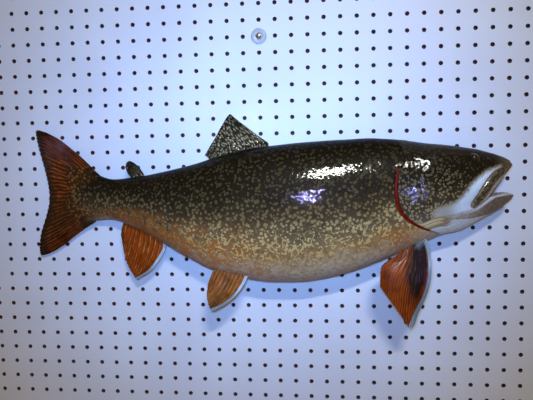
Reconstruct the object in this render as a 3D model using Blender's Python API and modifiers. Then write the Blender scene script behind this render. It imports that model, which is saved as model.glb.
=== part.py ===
"""Taxidermy mount of a lake trout on its perforated board, life size, as a set of closed solids.

Frame: metres, +Z up, +X towards the snout, +Y into the wall.  The origin lies on the rear face of
the middle batten, so the wall is the plane y = 0 and the board and fish lie at negative y.  Sizes
are written in millimetres and turned into metres by MM.
"""

import math
from collections import namedtuple

import bmesh
import bpy
from mathutils import Matrix, Vector

MM = 0.001

# ---------------------------------------------------------------- driving dimensions (mm)
GAP = 0.3  # clearance between neighbouring solids

PITCH = 25.4  # spacing of the board's peg holes; they lie at whole columns and half rows
PEG_RADIUS = 3.2
PANEL_THICK = 6.0
PANEL_LEFT = -20.5 * PITCH
PANEL_RIGHT = 16.5 * PITCH
PANEL_HALF_HEIGHT = 14 * PITCH
BATTEN_WIDTH = 38.0
BATTEN_THICK = 18.0
BATTEN_COLUMNS = {"batten_left": -16.5, "batten_centre": -0.5, "batten_right": 13.5}
FACE = -(BATTEN_THICK + GAP + PANEL_THICK)  # y of the board's front face
BOARD_SCREW = (-1 * PITCH, 10.5 * PITCH)  # x, z
WASHER_PROFILE = [(3.4, 0.3), (12.5, 0.3), (12.5, 1.1), (9.0, 2.6), (5.6, 2.6), (3.4, 1.6)]
SCREW_PROFILE = [(0, -16), (2.0, -16), (2.0, 1.9), (4.6, 2.9), (3.6, 4.4), (0, 5.0)]

BACK_PLANE = FACE - 3.0  # the fish's wall side is cut flat here, and its block stands proud
STEM_FRONT = -207.0  # where the trunk meets the tail stem

BLOCK_LENGTH = 250.0
BLOCK_HEIGHT = 100.0
BLOCK_THICK = 12.0
BLOCK_CORNER = 34.0
BOLT_PLACE = (1 * PITCH, 1.5 * PITCH)  # x, z: a peg hole over the fish's centre of mass
BOLT_RADIUS = 2.0
BOLT_HEAD_RADIUS = 3.8
HANGER_SIZE = (46.0, 28.0, 1.2)
KEYHOLE_RADIUS = 5.0
KEYHOLE_RISE = 9.0  # from the keyhole's round end up to the bolt
SCREW_RADIUS = 2.8

EYE_RADIUS = 8.2
EYE_CENTRE = (290.0, 72.5)  # x, z
EYE_DEPTH = 4.6  # how far the ball's centre lies inside the skin

FIN_THICK = 1.6
CAUDAL_THICK = 2.4
ADIPOSE_THICK = 4.0
FIN_EDGE_SHARE = 0.5  # a fin's edge is this share of its thickness at the base

GILL_DEPTH = 9.0
GILL_WIDTH = 4.4
MAXILLA_PROUD = 1.4
MAXILLA_DEPTH = 2.2
MOUTH_WALL = 5.5
TOOTH_HEIGHT = 1.9
TOOTH_RADIUS = 0.7

RING_POINTS = 28
FLAKE = 2.0  # loose chips smaller than this are dropped after a cut

# Lines along the body, each a list of (x, value) knots in mm.
BACK_LINE = [
    (-346, 84), (-318, 69), (-290, 53), (-262, 46), (-225, 50), (-180, 57), (-130, 68),
    (-80, 82), (-30, 93), (20, 97.5), (80, 101.5), (135, 103.5), (185, 101), (235, 94.5),
    (275, 89), (305, 83), (325, 77.5), (340, 71.5), (347, 66.5), (351, 61), (354, 52),
]
BELLY_LINE = [
    (-346, -50), (-318, -33), (-297, -22.5), (-272, -20.5), (-229, -32), (-199, -46),
    (-174, -60), (-136, -81), (-95, -99), (-50, -109.5), (0, -115), (40, -113.5),
    (85, -106), (124, -94.5), (159, -81), (190, -67.5), (229, -50.5), (246, -43.5),
    (274, -37.5), (295, -27), (321, -12.5), (336, -3.5), (346, 4), (352, 9.5), (354, 14),
]
HALF_WIDTH = [
    (-346, 1.8), (-338, 2.8), (-326, 5), (-310, 8.8), (-290, 13), (-262, 17), (-230, 22.5), (-190, 30),
    (-150, 37), (-100, 44.5), (-50, 50), (0, 53), (50, 53.5), (100, 51.5), (140, 48.5),
    (180, 45), (220, 41.5), (250, 38), (280, 33.5), (305, 28.5), (325, 23), (338, 17.8),
    (346, 13), (351, 8.6), (354, 4),
]
WIDEST_LEVEL = [
    (-346, 14), (-262, 12), (-150, 0), (-50, -5), (50, -7), (130, -3), (190, 7), (250, 18),
    (300, 26), (354, 32),
]
STAND_OFF = [
    (-400, 11), (-346, 11.5), (-300, 15.5), (-262, 21), (-200, 31), (-150, 37.5),
    (-100, 42), (-50, 44), (0, 45), (100, 46.5), (200, 46.5), (250, 43.5), (300, 39),
    (354, 35),
]
UPPER_ROUND = [
    (-346, 2.0), (-200, 2.05), (100, 2.15), (200, 2.4), (270, 2.9), (320, 2.6), (354, 2.2),
]
LOWER_ROUND = [
    (-346, 2.0), (-200, 2.05), (100, 2.15), (200, 1.95), (270, 1.85), (320, 2.1), (354, 2.2),
]

STATIONS = [
    -346, -336, -324, -310, -296, -280, -262, -240, -214, -186, -156, -124, -88, -46, 0, 46, 90,
    128, 160, 186, 206, 224, 242, 260, 276, 291, 304, 315, 325, 333, 340, 345.5, 350, 354,
]

# Outlines in the x-z plane (mm).
GILL_LINE = [
    (170, 130), (186, 96), (190, 72), (183, 60), (179.5, 50), (177.5, 33), (179, 15),
    (185, -3), (199, -17), (221, -30), (243, -40), (262, -60),
]
GILL_SLOT = [(183, 60), (179.5, 50), (177.5, 33), (179, 15), (185, -3), (199, -17), (214, -26.5), (228, -33)]
JAW_LINE = [
    (200, -26), (221, -24), (233, -16.5), (246, -13), (263, -11), (285, -6), (296, 0.5), (306, 8),
    (311, 13), (314.5, 17.5), (322, 24), (334, 33), (350, 38), (380, 40),
]
MOUTH_TOP = [
    (312, 15.2), (320, 26), (326, 33.5), (332, 41), (340, 49), (345, 54), (349, 57.5), (353, 59.5),
    (372, 61),
]
MOUTH_FLOOR = [
    (372, 13), (354.5, 15), (351, 17), (344, 19), (336, 18.8), (326, 17.4), (318, 16), (312, 14.6),
]
STEM_ARC = [
    (-300, 100), (-312, 66), (-326, 46), (-337, 30), (-342, 10), (-336, -10), (-324, -25),
    (-312, -40), (-305, -70),
]
UPPER_TEETH = [(317, 22), (325, 32.5), (334, 43), (344, 53)]
LOWER_TEETH = [(319, 16), (327, 17.5), (336, 18.6), (346, 18.4)]
MAXILLA = [
    (337, 57), (333, 58.5), (327, 57), (316, 50), (305, 37), (296, 23.5), (287.5, 11), (284.5, 4),
    (286, 0.5), (291, -1), (297, 1.5), (306, 9), (312.5, 16), (319.5, 26.5), (325.5, 34), (331.5, 41.5),
    (337, 47.5), (340.5, 52),
]
MOUTH_CAVITY = [
    (258, 2), (262, -6), (275, -11), (295, -13), (315, -4), (335, 7), (347, 14), (372, 16), (372, 58),
    (346, 59), (332, 55), (312, 45), (290, 33), (268, 18),
]

# Fins: base, leading edge, margin and trailing edge.  Two numbers are x, z on the midline;
# three are x, z and the distance from the board.
DORSAL = (
    [(-9, 86), (-40, 82), (-70, 74), (-94, 64)],
    [(-9, 86), (-9, 98.5), (-21, 108), (-36, 119.5), (-52, 132), (-63, 141)],
    [(-63, 141), (-67, 144), (-73, 139), (-81, 126), (-90, 110), (-101, 94), (-109, 82)],
    [(-94, 64), (-97, 71), (-102, 77), (-109, 82)],
)
ADIPOSE = (
    [(-204, 41.5), (-229, 38.5)],
    [(-204, 41.5), (-208, 50), (-214, 60), (-221, 68), (-229, 73.5)],
    [(-229, 73.5), (-235, 75), (-240, 71), (-241.5, 64)],
    [(-229, 38.5), (-232, 47), (-238, 55), (-241.5, 64)],
)
ANAL = (
    [(-176, -50), (-205, -36), (-230, -24), (-246, -17)],
    [(-176, -50), (-178, -66), (-186, -80), (-197, -95), (-209, -106.5), (-224, -115.5)],
    [(-224, -115.5), (-229, -118), (-235, -111), (-245, -91), (-251, -68), (-255, -45)],
    [(-246, -17), (-250, -27), (-253, -36), (-255, -45)],
)
CAUDAL = (
    [(-288, 42), (-302, 30), (-310, 12), (-306, -6), (-296, -16)],
    [(-288, 42), (-292, 58.5), (-312, 76.5), (-333, 94.5), (-354, 111), (-377, 123.5)],
    [
        (-377, 123.5), (-393, 127), (-394.5, 114), (-391, 92), (-384, 62), (-379, 37), (-377.5, 12),
        (-384, -14), (-395, -44), (-399.5, -68), (-397.5, -80.5), (-382, -77),
    ],
    [(-296, -16), (-299, -24), (-318, -35), (-337, -48), (-360, -65), (-382, -77)],
)
PELVIC = (
    [(-41, -93, 60), (-60, -95, 60), (-78, -92, 58), (-92, -86, 55)],
    [(-41, -93, 60), (-43, -104, 64), (-52, -121, 69), (-65, -136, 72), (-80, -147, 74)],
    [(-80, -147, 74), (-96, -154, 75), (-101, -147, 74), (-105, -132, 70), (-105.5, -116, 64)],
    [(-92, -86, 55), (-96, -94, 57), (-101, -104, 60), (-105.5, -116, 64)],
)
PECTORAL = (
    [(221, -37, 58), (213, -44, 59), (202, -50, 59), (190, -56, 58)],
    [(221, -37, 58), (226, -54, 65), (229, -72, 70), (229.5, -90, 74), (227, -108, 78), (220, -129, 81)],
    [
        (220, -129, 81), (209, -152, 84), (199, -174, 86), (183, -154, 86), (168, -132, 85),
        (155, -113, 83),
    ],
    [(190, -56, 58), (181, -69, 65), (168, -76, 71), (157, -86, 77), (155, -113, 83)],
)
# The board side's paired fins are folded back along the belly, close to the skin.
FOLDED_PECTORAL = (
    [(232, -36), (222, -40), (212, -43), (204, -44)],
    [(232, -36), (212, -52), (186, -66), (156, -77), (128, -84)],
    [(128, -84), (114, -83), (111, -75), (116, -66), (130, -58)],
    [(204, -44), (184, -47), (158, -52), (130, -58)],
)
FOLDED_PELVIC = (
    [(-41, -88), (-50, -84), (-58, -79)],
    [(-41, -88), (-58, -93), (-76, -92), (-94, -85)],
    [(-94, -85), (-103, -79), (-102, -73), (-94, -68)],
    [(-58, -79), (-70, -76), (-82, -72), (-94, -68)],
)

Colour = namedtuple("Colour", "red green blue rough")
SKIN_DARK = Colour(0.075, 0.062, 0.035, 0.18)
SKIN_HEAD = Colour(0.10, 0.085, 0.05, 0.18)
SKIN_PALE = Colour(0.55, 0.50, 0.47, 0.2)
FIN_ORANGE = Colour(0.42, 0.13, 0.03, 0.2)
FIN_DARK = Colour(0.09, 0.08, 0.04, 0.2)
GILL_RED = Colour(0.35, 0.01, 0.01, 0.15)
EYE_GLASS = Colour(0.03, 0.02, 0.01, 0.05)
MOUTH_PINK = Colour(0.62, 0.45, 0.40, 0.3)
PLYWOOD = Colour(0.62, 0.44, 0.25, 0.6)
PINE = Colour(0.66, 0.47, 0.26, 0.6)
HARDBOARD = Colour(0.60, 0.66, 0.85, 0.35)
WASHER_WHITE = Colour(0.75, 0.80, 0.88, 0.3)
STEEL = Colour(0.45, 0.45, 0.46, 0.35)


# ---------------------------------------------------------------- curves
def smooth(knots, t):
    """Value at t of a smooth curve through (t, value) knots, without overshoot."""
    if t <= knots[0][0]:
        return knots[0][1]
    if t >= knots[-1][0]:
        return knots[-1][1]
    slopes = [(b[1] - a[1]) / (b[0] - a[0]) for a, b in zip(knots, knots[1:])]
    k = max(i for i, knot in enumerate(knots[:-1]) if knot[0] <= t)

    def tangent(i):
        if i == 0 or i == len(knots) - 1:
            return slopes[0] if i == 0 else slopes[-1]
        left, right = slopes[i - 1], slopes[i]
        return 0.0 if left * right <= 0 else 2 * left * right / (left + right)

    (t0, v0), (t1, v1) = knots[k], knots[k + 1]
    span = t1 - t0
    f = (t - t0) / span
    return (
        v0 * (1 + 2 * f) * (1 - f) ** 2
        + span * tangent(k) * f * (1 - f) ** 2
        + v1 * f * f * (3 - 2 * f)
        - span * tangent(k + 1) * f * f * (1 - f)
    )


def along(points, f):
    """Point at share f of a smooth curve through points of any dimension, f from 0 to 1."""
    last = len(points) - 1
    k = min(int(f * last), last - 1)
    g = f * last - k
    a, b = points[k], points[k + 1]
    before = points[k - 1] if k else [2 * p - q for p, q in zip(a, b)]
    after = points[k + 2] if k + 2 <= last else [2 * q - p for p, q in zip(a, b)]
    return [
        0.5 * (2 * p + (q - o) * g + (2 * o - 5 * p + 4 * q - r) * g * g + (3 * p - o - 3 * q + r) * g ** 3)
        for o, p, q, r in zip(before, a, b, after)
    ]


def resampled(points, count):
    """count points along a smooth curve through the given ones."""
    return [along(points, i / (count - 1)) for i in range(count)]


def offset_line(points, count, shift):
    """A smooth x-z line moved sideways by shift(f) mm, to the right of its direction of travel."""
    line = resampled(points, count)
    moved = []
    for i, (x, z) in enumerate(line):
        (x0, z0), (x1, z1) = line[max(i - 1, 0)], line[min(i + 1, count - 1)]
        length = math.hypot(x1 - x0, z1 - z0)
        step = shift(i / (count - 1))
        moved.append((x + step * (z1 - z0) / length, z - step * (x1 - x0) / length))
    return moved


def grown(outline, amount):
    """A closed x-z outline moved outwards by amount mm."""
    area = sum(a[0] * b[1] - b[0] * a[1] for a, b in zip(outline, outline[1:] + outline[:1]))
    way = amount if area > 0 else -amount
    moved = []
    for before, here, after in zip(outline[-1:] + outline[:-1], outline, outline[1:] + outline[:1]):
        ax, az = here[0] - before[0], here[1] - before[1]
        bx, bz = after[0] - here[0], after[1] - here[1]
        a, b = math.hypot(ax, az), math.hypot(bx, bz)
        nx, nz = az / a + bz / b, -ax / a - bx / b
        scale = 2 * way / (nx * nx + nz * nz)
        moved.append((here[0] + nx * scale, here[1] + nz * scale))
    return moved


# ---------------------------------------------------------------- the body's surface
def midline(x, z=0.0):
    """y of the sagittal plane."""
    return FACE - smooth(STAND_OFF, x)


def section(x, grow=0.0):
    """(sagittal y, widest z, top z, bottom z, half width, upper and lower roundness) at x."""
    return (
        midline(x),
        smooth(WIDEST_LEVEL, x),
        smooth(BACK_LINE, x) + grow,
        smooth(BELLY_LINE, x) - grow,
        max(smooth(HALF_WIDTH, x) + grow, 0.4),
        smooth(UPPER_ROUND, x),
        smooth(LOWER_ROUND, x),
    )


def half_width_at(x, z, grow=0.0):
    """Distance from the sagittal plane to the skin at (x, z), 0 above the back or below the belly."""
    _, level, top, bottom, width, n_up, n_low = section(x, grow)
    reach, n = (top - level, n_up) if z > level else (level - bottom, n_low)
    share = abs(z - level) / reach
    return 0.0 if share >= 1 else width * (1 - share ** n) ** (1 / n)


def body_loft(name, grow=0.0):
    """The whole fish without fins, as one closed loft of rounded sections along x."""
    bm = bmesh.new()
    rings = []
    centre = (STATIONS[0] + STATIONS[-1]) / 2
    stretch = 1 + 2 * grow / (STATIONS[-1] - STATIONS[0])
    for x in STATIONS:
        mid, level, top, bottom, width, n_up, n_low = section(x, grow)
        ring = []
        for k in range(RING_POINTS):
            angle = 2 * math.pi * k / RING_POINTS
            c, s = math.cos(angle), math.sin(angle)
            n, reach = (n_up, top - level) if c > 0 else (n_low, level - bottom)
            z = level + math.copysign(reach * abs(c) ** (2 / n), c)
            y = mid + math.copysign(width * abs(s) ** (2 / n), s)
            ring.append(bm.verts.new(Vector((centre + (x - centre) * stretch, y, z)) * MM))
        rings.append(ring)
    for a, b in zip(rings, rings[1:]):
        for k in range(RING_POINTS):
            j = (k + 1) % RING_POINTS
            bm.faces.new((a[k], a[j], b[j], b[k]))
    bm.faces.new(rings[0])
    bm.faces.new(reversed(rings[-1]))
    bmesh.ops.triangulate(bm, faces=bm.faces)
    bmesh.ops.recalc_face_normals(bm, faces=bm.faces)
    return finish_mesh(name, bm)


# ---------------------------------------------------------------- objects and modifiers
parts = bpy.data.collections.new("mounted_trout")
cutters = bpy.data.collections.new("cutters")


def clear_scene():
    """Removes every object and links the two collections."""
    for old in list(bpy.data.objects):
        bpy.data.objects.remove(old)
    for collection in (parts, cutters):
        bpy.context.scene.collection.children.link(collection)


def finish_mesh(name, bm):
    """An object from a bmesh, linked to the cutters until dress() makes it a part."""
    mesh = bpy.data.meshes.new(name)
    bm.to_mesh(mesh)
    bm.free()
    made = bpy.data.objects.new(name, mesh)
    cutters.objects.link(made)
    made.hide_render = True
    made.display_type = "WIRE"
    return made


def dress(made, colour):
    """Turns a finished mesh into a part of the model with its own material."""
    material = bpy.data.materials.new(made.name)
    material.use_nodes = True
    shader = material.node_tree.nodes["Principled BSDF"]
    shader.inputs["Base Color"].default_value = (colour.red, colour.green, colour.blue, 1)
    shader.inputs["Roughness"].default_value = colour.rough
    shader.inputs["Metallic"].default_value = 0.9 if colour is STEEL else 0.0
    made.data.materials.clear()
    made.data.materials.append(material)
    cutters.objects.unlink(made)
    parts.objects.link(made)
    made.hide_render = False
    made.display_type = "TEXTURED"
    made.data.shade_smooth()
    made.data.set_sharp_from_angle(angle=math.radians(35))
    return made


def drop_flakes(bm):
    """Deletes the loose chips under FLAKE across that an exact Boolean can leave."""
    seen = set()
    for first in list(bm.faces):
        if first in seen:
            continue
        island, edge = {first}, [first]
        while edge:
            face = edge.pop()
            for near in (other for side in face.edges for other in side.link_faces):
                if near not in island:
                    island.add(near)
                    edge.append(near)
        seen |= island
        spots = [v.co for face in island for v in face.verts]
        if max(max(s[i] for s in spots) - min(s[i] for s in spots) for i in range(3)) < FLAKE * MM:
            bmesh.ops.delete(bm, geom=list(island), context="FACES")
            seen -= island


def boolean(target, tool, operation):
    """Applies one exact Boolean to target, cleans the slivers it leaves, and returns target."""
    modifier = target.modifiers.new(operation.lower(), "BOOLEAN")
    modifier.object = tool
    modifier.operation = operation
    modifier.solver = "EXACT"
    bpy.context.view_layer.update()
    graph = bpy.context.evaluated_depsgraph_get()
    mesh = bpy.data.meshes.new_from_object(target.evaluated_get(graph))
    target.modifiers.clear()
    target.data = mesh
    bm = bmesh.new()
    bm.from_mesh(mesh)
    bmesh.ops.remove_doubles(bm, verts=bm.verts, dist=0.00002)
    bmesh.ops.dissolve_degenerate(bm, edges=bm.edges, dist=0.00002)
    drop_flakes(bm)
    bm.to_mesh(mesh)
    bm.free()
    return target


def copy_of(source, name):
    """An independent copy of a mesh object."""
    made = bpy.data.objects.new(name, source.data.copy())
    cutters.objects.link(made)
    made.hide_render = True
    made.display_type = "WIRE"
    return made


def prism(name, outline, y_low, y_high):
    """A closed x-z outline (mm) drawn out along y, as a mesh."""
    bm = bmesh.new()
    ring = [bm.verts.new(Vector((x, y_low, z)) * MM) for x, z in outline]
    face = bm.faces.new(ring)
    drawn = bmesh.ops.extrude_face_region(bm, geom=[face])
    moved = [v for v in drawn["geom"] if isinstance(v, bmesh.types.BMVert)]
    bmesh.ops.translate(bm, verts=moved, vec=(0, (y_high - y_low) * MM, 0))
    bmesh.ops.recalc_face_normals(bm, faces=bm.faces)
    return finish_mesh(name, bm)


def ball(name, centre, radii, segments, rings):
    """An ellipsoid at centre (mm) with its poles along y."""
    bm = bmesh.new()
    bmesh.ops.create_uvsphere(bm, u_segments=segments, v_segments=rings, radius=1.0)
    bmesh.ops.rotate(bm, verts=bm.verts, matrix=Matrix.Rotation(math.pi / 2, 3, "X"))
    bmesh.ops.scale(bm, verts=bm.verts, vec=Vector(radii) * MM)
    bmesh.ops.translate(bm, verts=bm.verts, vec=Vector(centre) * MM)
    bmesh.ops.recalc_face_normals(bm, faces=bm.faces)
    return finish_mesh(name, bm)


def shifted(points, dx, dz=0.0):
    """The outline moved by (dx, dz)."""
    return [(x + dx, z + dz) for x, z in points]


# ---------------------------------------------------------------- flesh
def zone(name, outline):
    """A prism that cuts right through the fish."""
    return prism(name, outline, FACE - 200.0, FACE + 60.0)


def wall_side(name):
    """Everything on the board's side of the plane the fish is cut flat at."""
    return prism(name, [(-420, -260), (400, -260), (400, 260), (-420, 260)], BACK_PLANE, 60)


def corners(top, bottom, line, gap, far_x):
    """Outline of everything on one side of a line that runs from the top down."""
    edge = shifted(resampled(line, 26), gap)
    return edge + [(far_x, bottom), (far_x, top)]


def build_flesh():
    """Trunk, tail stem, head and lower jaw, parted with thin cuts."""
    whole = body_loft("whole")
    boolean(whole, wall_side("back_cut"), "DIFFERENCE")
    ahead = corners(260, -260, GILL_LINE, GAP / 2, 400)
    after = corners(260, -260, GILL_LINE, -GAP / 2, STEM_FRONT)
    stem_edge = shifted(resampled(STEM_ARC, 22), GAP / 2)
    stem_zone = stem_edge + [(STEM_FRONT - GAP, -260), (STEM_FRONT - GAP, 260)]
    jaw_edge = resampled(JAW_LINE, 24)
    below = shifted(jaw_edge, 0, -GAP / 2) + [(380, -260), (200, -260)]
    above = shifted(jaw_edge, 0, GAP / 2) + [(380, 260), (150, 260), (150, -24)]

    trunk = boolean(copy_of(whole, "trunk"), zone("trunk_zone", after), "INTERSECT")
    stem = boolean(copy_of(whole, "tail_stem"), zone("stem_zone", stem_zone), "INTERSECT")
    front = boolean(copy_of(whole, "front"), zone("front_zone", ahead), "INTERSECT")
    wedge = zone("wedge", resampled(MOUTH_TOP, 20) + resampled(MOUTH_FLOOR, 12))
    boolean(front, wedge, "DIFFERENCE")
    cavity = boolean(zone("cavity", MOUTH_CAVITY), body_loft("mouth_wall", -MOUTH_WALL), "INTERSECT")
    boolean(front, cavity, "DIFFERENCE")
    head = boolean(copy_of(front, "head"), zone("above_jaw", above), "INTERSECT")
    jaw = boolean(copy_of(front, "lower_jaw"), zone("below_jaw", below), "INTERSECT")
    return trunk, stem, head, jaw


def split_sides(made, name, colour):
    """Parts a mesh of two islands into name_right (away from the board) and name_left."""
    reach = [v.co.y for v in made.data.vertices]
    middle = (min(reach) + max(reach)) / 2
    for side, sign in (("right", -1), ("left", 1)):
        bm = bmesh.new()
        bm.from_mesh(made.data)
        other = [v for v in bm.verts if (v.co.y - middle) * sign < 0]
        bmesh.ops.delete(bm, geom=other, context="VERTS")
        dress(finish_mesh(f"{name}_{side}", bm), colour)


def swell(f):
    """Width of the gill slit along its length, as a share of the widest."""
    return 0.42 + 0.58 * math.sin(math.pi * f) ** 0.8


def build_gills(trunk):
    """The red gill edges in the slits behind the gill covers."""
    ahead = offset_line(GILL_SLOT, 14, lambda f: -2.5)
    rear = offset_line(GILL_SLOT, 14, lambda f: GILL_WIDTH * swell(f))
    pocket = zone("gill_pocket", ahead + rear[::-1])
    boolean(pocket, body_loft("gill_core", -GILL_DEPTH - GAP), "DIFFERENCE")
    boolean(trunk, pocket, "DIFFERENCE")
    front = offset_line(GILL_SLOT, 14, lambda f: 2 * GAP)
    back = offset_line(GILL_SLOT, 14, lambda f: GILL_WIDTH * swell(f) - GAP)
    strip = boolean(zone("gill_strip", front + back[::-1]), body_loft("gill_outer", -1.2), "INTERSECT")
    boolean(strip, body_loft("gill_inner", -GILL_DEPTH), "DIFFERENCE")
    boolean(strip, wall_side("gill_back"), "DIFFERENCE")
    split_sides(strip, "gill_edge", GILL_RED)


def build_maxillae(head, jaw):
    """The upper jaw's side plates, let into the head."""
    pocket = zone("maxilla_pocket", grown(MAXILLA, GAP))
    boolean(pocket, body_loft("maxilla_floor", -MAXILLA_DEPTH - GAP), "DIFFERENCE")
    for flesh in (head, jaw):
        boolean(flesh, pocket, "DIFFERENCE")
    plates = boolean(zone("maxilla", MAXILLA), body_loft("maxilla_top", MAXILLA_PROUD), "INTERSECT")
    boolean(plates, body_loft("maxilla_base", -MAXILLA_DEPTH), "DIFFERENCE")
    split_sides(plates, "maxilla", SKIN_HEAD)


def tooth(bm, root, tip):
    """Adds one small cone from root to tip (mm)."""
    root, tip = Vector(root) * MM, Vector(tip) * MM
    axis = tip - root
    turn = Vector((0, 0, 1)).rotation_difference(axis).to_matrix().to_4x4()
    bmesh.ops.create_cone(
        bm, cap_ends=True, segments=4, radius1=TOOTH_RADIUS * MM, radius2=0.12 * MM,
        depth=axis.length, matrix=Matrix.Translation((root + tip) / 2) @ turn,
    )


def build_teeth(flesh, edge, inset, up):
    """Joins a row of teeth on each side to a jaw's edge; up is 1 for the lower jaw."""
    bm = bmesh.new()
    line = resampled(edge, 6)
    for i in range(1, len(line) - 1):
        (x0, z0), (x, z), (x1, z1) = line[i - 1], line[i], line[i + 1]
        run = math.hypot(x1 - x0, z1 - z0)
        nx, nz = -(z1 - z0) / run, (x1 - x0) / run
        if nz * up < 0:
            nx, nz = -nx, -nz
        for side in (-1, 1):
            y = midline(x) + side * (half_width_at(x, z) - inset)
            root = (x - nx * 1.5, y, z - nz * 1.5)
            lean = -side * 0.35 * TOOTH_HEIGHT
            tooth(bm, root, (x + nx * TOOTH_HEIGHT, y + lean, z + nz * TOOTH_HEIGHT))
    boolean(flesh, finish_mesh("teeth", bm), "UNION")


def build_tongue():
    """The tongue, lying on the floor of the mouth."""
    blade = ball("tongue", (0, 0, 0), (27, 11, 5.5), 16, 8)
    blade.data.transform(Matrix.Rotation(math.radians(-24), 4, "Y"))
    blade.data.transform(Matrix.Translation(Vector((303, midline(303), -3.5)) * MM))
    room = zone("mouth_room", grown(MOUTH_CAVITY, -GAP))
    boolean(room, body_loft("room", -MOUTH_WALL - GAP), "INTERSECT")
    dress(boolean(blade, room, "INTERSECT"), MOUTH_PINK)


def build_eyes(head):
    """Glass eyes in their sockets; the balls' centres lie inside the skin."""
    x, z = EYE_CENTRE
    middle = midline(x)
    slope_x = half_width_at(x + 1, z) - half_width_at(x - 1, z)
    slope_z = half_width_at(x, z + 1) - half_width_at(x, z - 1)
    normal = Vector((-slope_x / 2, 1, -slope_z / 2)).normalized()
    for side, name in ((-1, "eye_right"), (1, "eye_left")):
        out = Vector((normal.x, normal.y * side, normal.z))
        centre = Vector((x, middle + side * half_width_at(x, z), z)) - out * EYE_DEPTH
        turn = Vector((0, 1, 0)).rotation_difference(out).to_matrix().to_4x4()
        for radius, tool in ((EYE_RADIUS + GAP, True), (EYE_RADIUS, False)):
            made = ball(name, (0, 0, 0), (radius,) * 3, 14, 8)
            made.data.transform(Matrix.Translation(centre * MM) @ turn)
            if tool:
                made.name = f"{name}_socket"
                boolean(head, made, "DIFFERENCE")
            else:
                dress(made, EYE_GLASS)


# ---------------------------------------------------------------- fins
def close_to_skin(x, z):
    """y just outside the skin on the board's side."""
    return min(midline(x) + half_width_at(x, z, 1.9), BACK_PLANE - 1.0)


def fin_grid(name, edges, rays, rows, thickness, y_at):
    """A fin between four edge curves, its columns along the rays, thinning towards the margin."""
    base, lead, margin, trail = edges

    def spot(u, v):
        b, m, l, t = along(base, u), along(margin, u), along(lead, v), along(trail, v)
        size = len(b)
        flat = [
            (1 - v) * b[i] + v * m[i] + (1 - u) * l[i] + u * t[i]
            - (1 - u) * (1 - v) * base[0][i] - u * (1 - v) * base[-1][i]
            - (1 - u) * v * margin[0][i] - u * v * margin[-1][i]
            for i in range(size)
        ]
        return Vector((flat[0], FACE - flat[2] if size == 3 else y_at(flat[0], flat[1]), flat[1])) * MM

    bm = bmesh.new()
    bmesh.ops.create_grid(bm, x_segments=rays, y_segments=rows, size=1.0)
    shares = []
    for vert in bm.verts:
        u, v = (vert.co.x + 1) / 2, (vert.co.y + 1) / 2
        shares.append(1 - (1 - FIN_EDGE_SHARE) * v)
        vert.co = spot(u, v)
    made = finish_mesh(name, bm)
    group = made.vertex_groups.new(name="thickness")
    for index, share in enumerate(shares):
        group.add([index], share, "REPLACE")
    solid = made.modifiers.new("thickness", "SOLIDIFY")
    solid.thickness = thickness * MM
    solid.offset = 0
    solid.vertex_group = group.name
    bpy.context.view_layer.update()
    graph = bpy.context.evaluated_depsgraph_get()
    mesh = bpy.data.meshes.new_from_object(made.evaluated_get(graph))
    made.modifiers.clear()
    made.data = mesh
    return made


def build_fins():
    """Every fin, cut to sit a hair clear of the body."""
    arc = shifted(resampled(STEM_ARC, 22), -GAP / 2)
    near = body_loft("fin_clearance", GAP)
    for name, edges, rays, rows, thickness, colour, y_at in (
        ("dorsal_fin", DORSAL, 9, 5, FIN_THICK, FIN_DARK, midline),
        ("adipose_fin", ADIPOSE, 4, 5, ADIPOSE_THICK, FIN_DARK, midline),
        ("anal_fin", ANAL, 8, 5, FIN_THICK, FIN_ORANGE, midline),
        ("pelvic_fin_right", PELVIC, 7, 5, FIN_THICK, FIN_ORANGE, midline),
        ("pelvic_fin_left", FOLDED_PELVIC, 7, 5, FIN_THICK, FIN_ORANGE, close_to_skin),
        ("pectoral_fin_right", PECTORAL, 9, 6, FIN_THICK, FIN_ORANGE, midline),
        ("pectoral_fin_left", FOLDED_PECTORAL, 8, 7, FIN_THICK, FIN_ORANGE, close_to_skin),
    ):
        fin = fin_grid(name, edges, rays, rows, thickness, y_at)
        dress(boolean(fin, near, "DIFFERENCE"), colour)
    room = zone("stem_room", arc + [(-150, -260), (-150, 260)])
    stem = boolean(copy_of(near, "stem_clearance"), room, "INTERSECT")
    fin = fin_grid("caudal_fin", CAUDAL, 16, 6, CAUDAL_THICK, midline)
    dress(boolean(fin, stem, "DIFFERENCE"), FIN_ORANGE)


# ---------------------------------------------------------------- the mount
def round_rectangle(centre, length, height, radius, steps):
    """A closed x-z outline with rounded corners."""
    points = []
    for k, (sx, sz) in enumerate(((1, 1), (-1, 1), (-1, -1), (1, -1))):
        cx, cz = centre[0] + sx * (length / 2 - radius), centre[1] + sz * (height / 2 - radius)
        for i in range(steps + 1):
            angle = math.pi / 2 * (k + i / steps)
            points.append((cx + radius * math.cos(angle), cz + radius * math.sin(angle)))
    return points


def disc(name, centre, radius, y_low, y_high, sides=12):
    """A short cylinder along y."""
    x, z = centre
    ring = [2 * math.pi * i / sides for i in range(sides)]
    outline = [(x + radius * math.cos(a), z + radius * math.sin(a)) for a in ring]
    return prism(name, outline, y_low, y_high)


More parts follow.
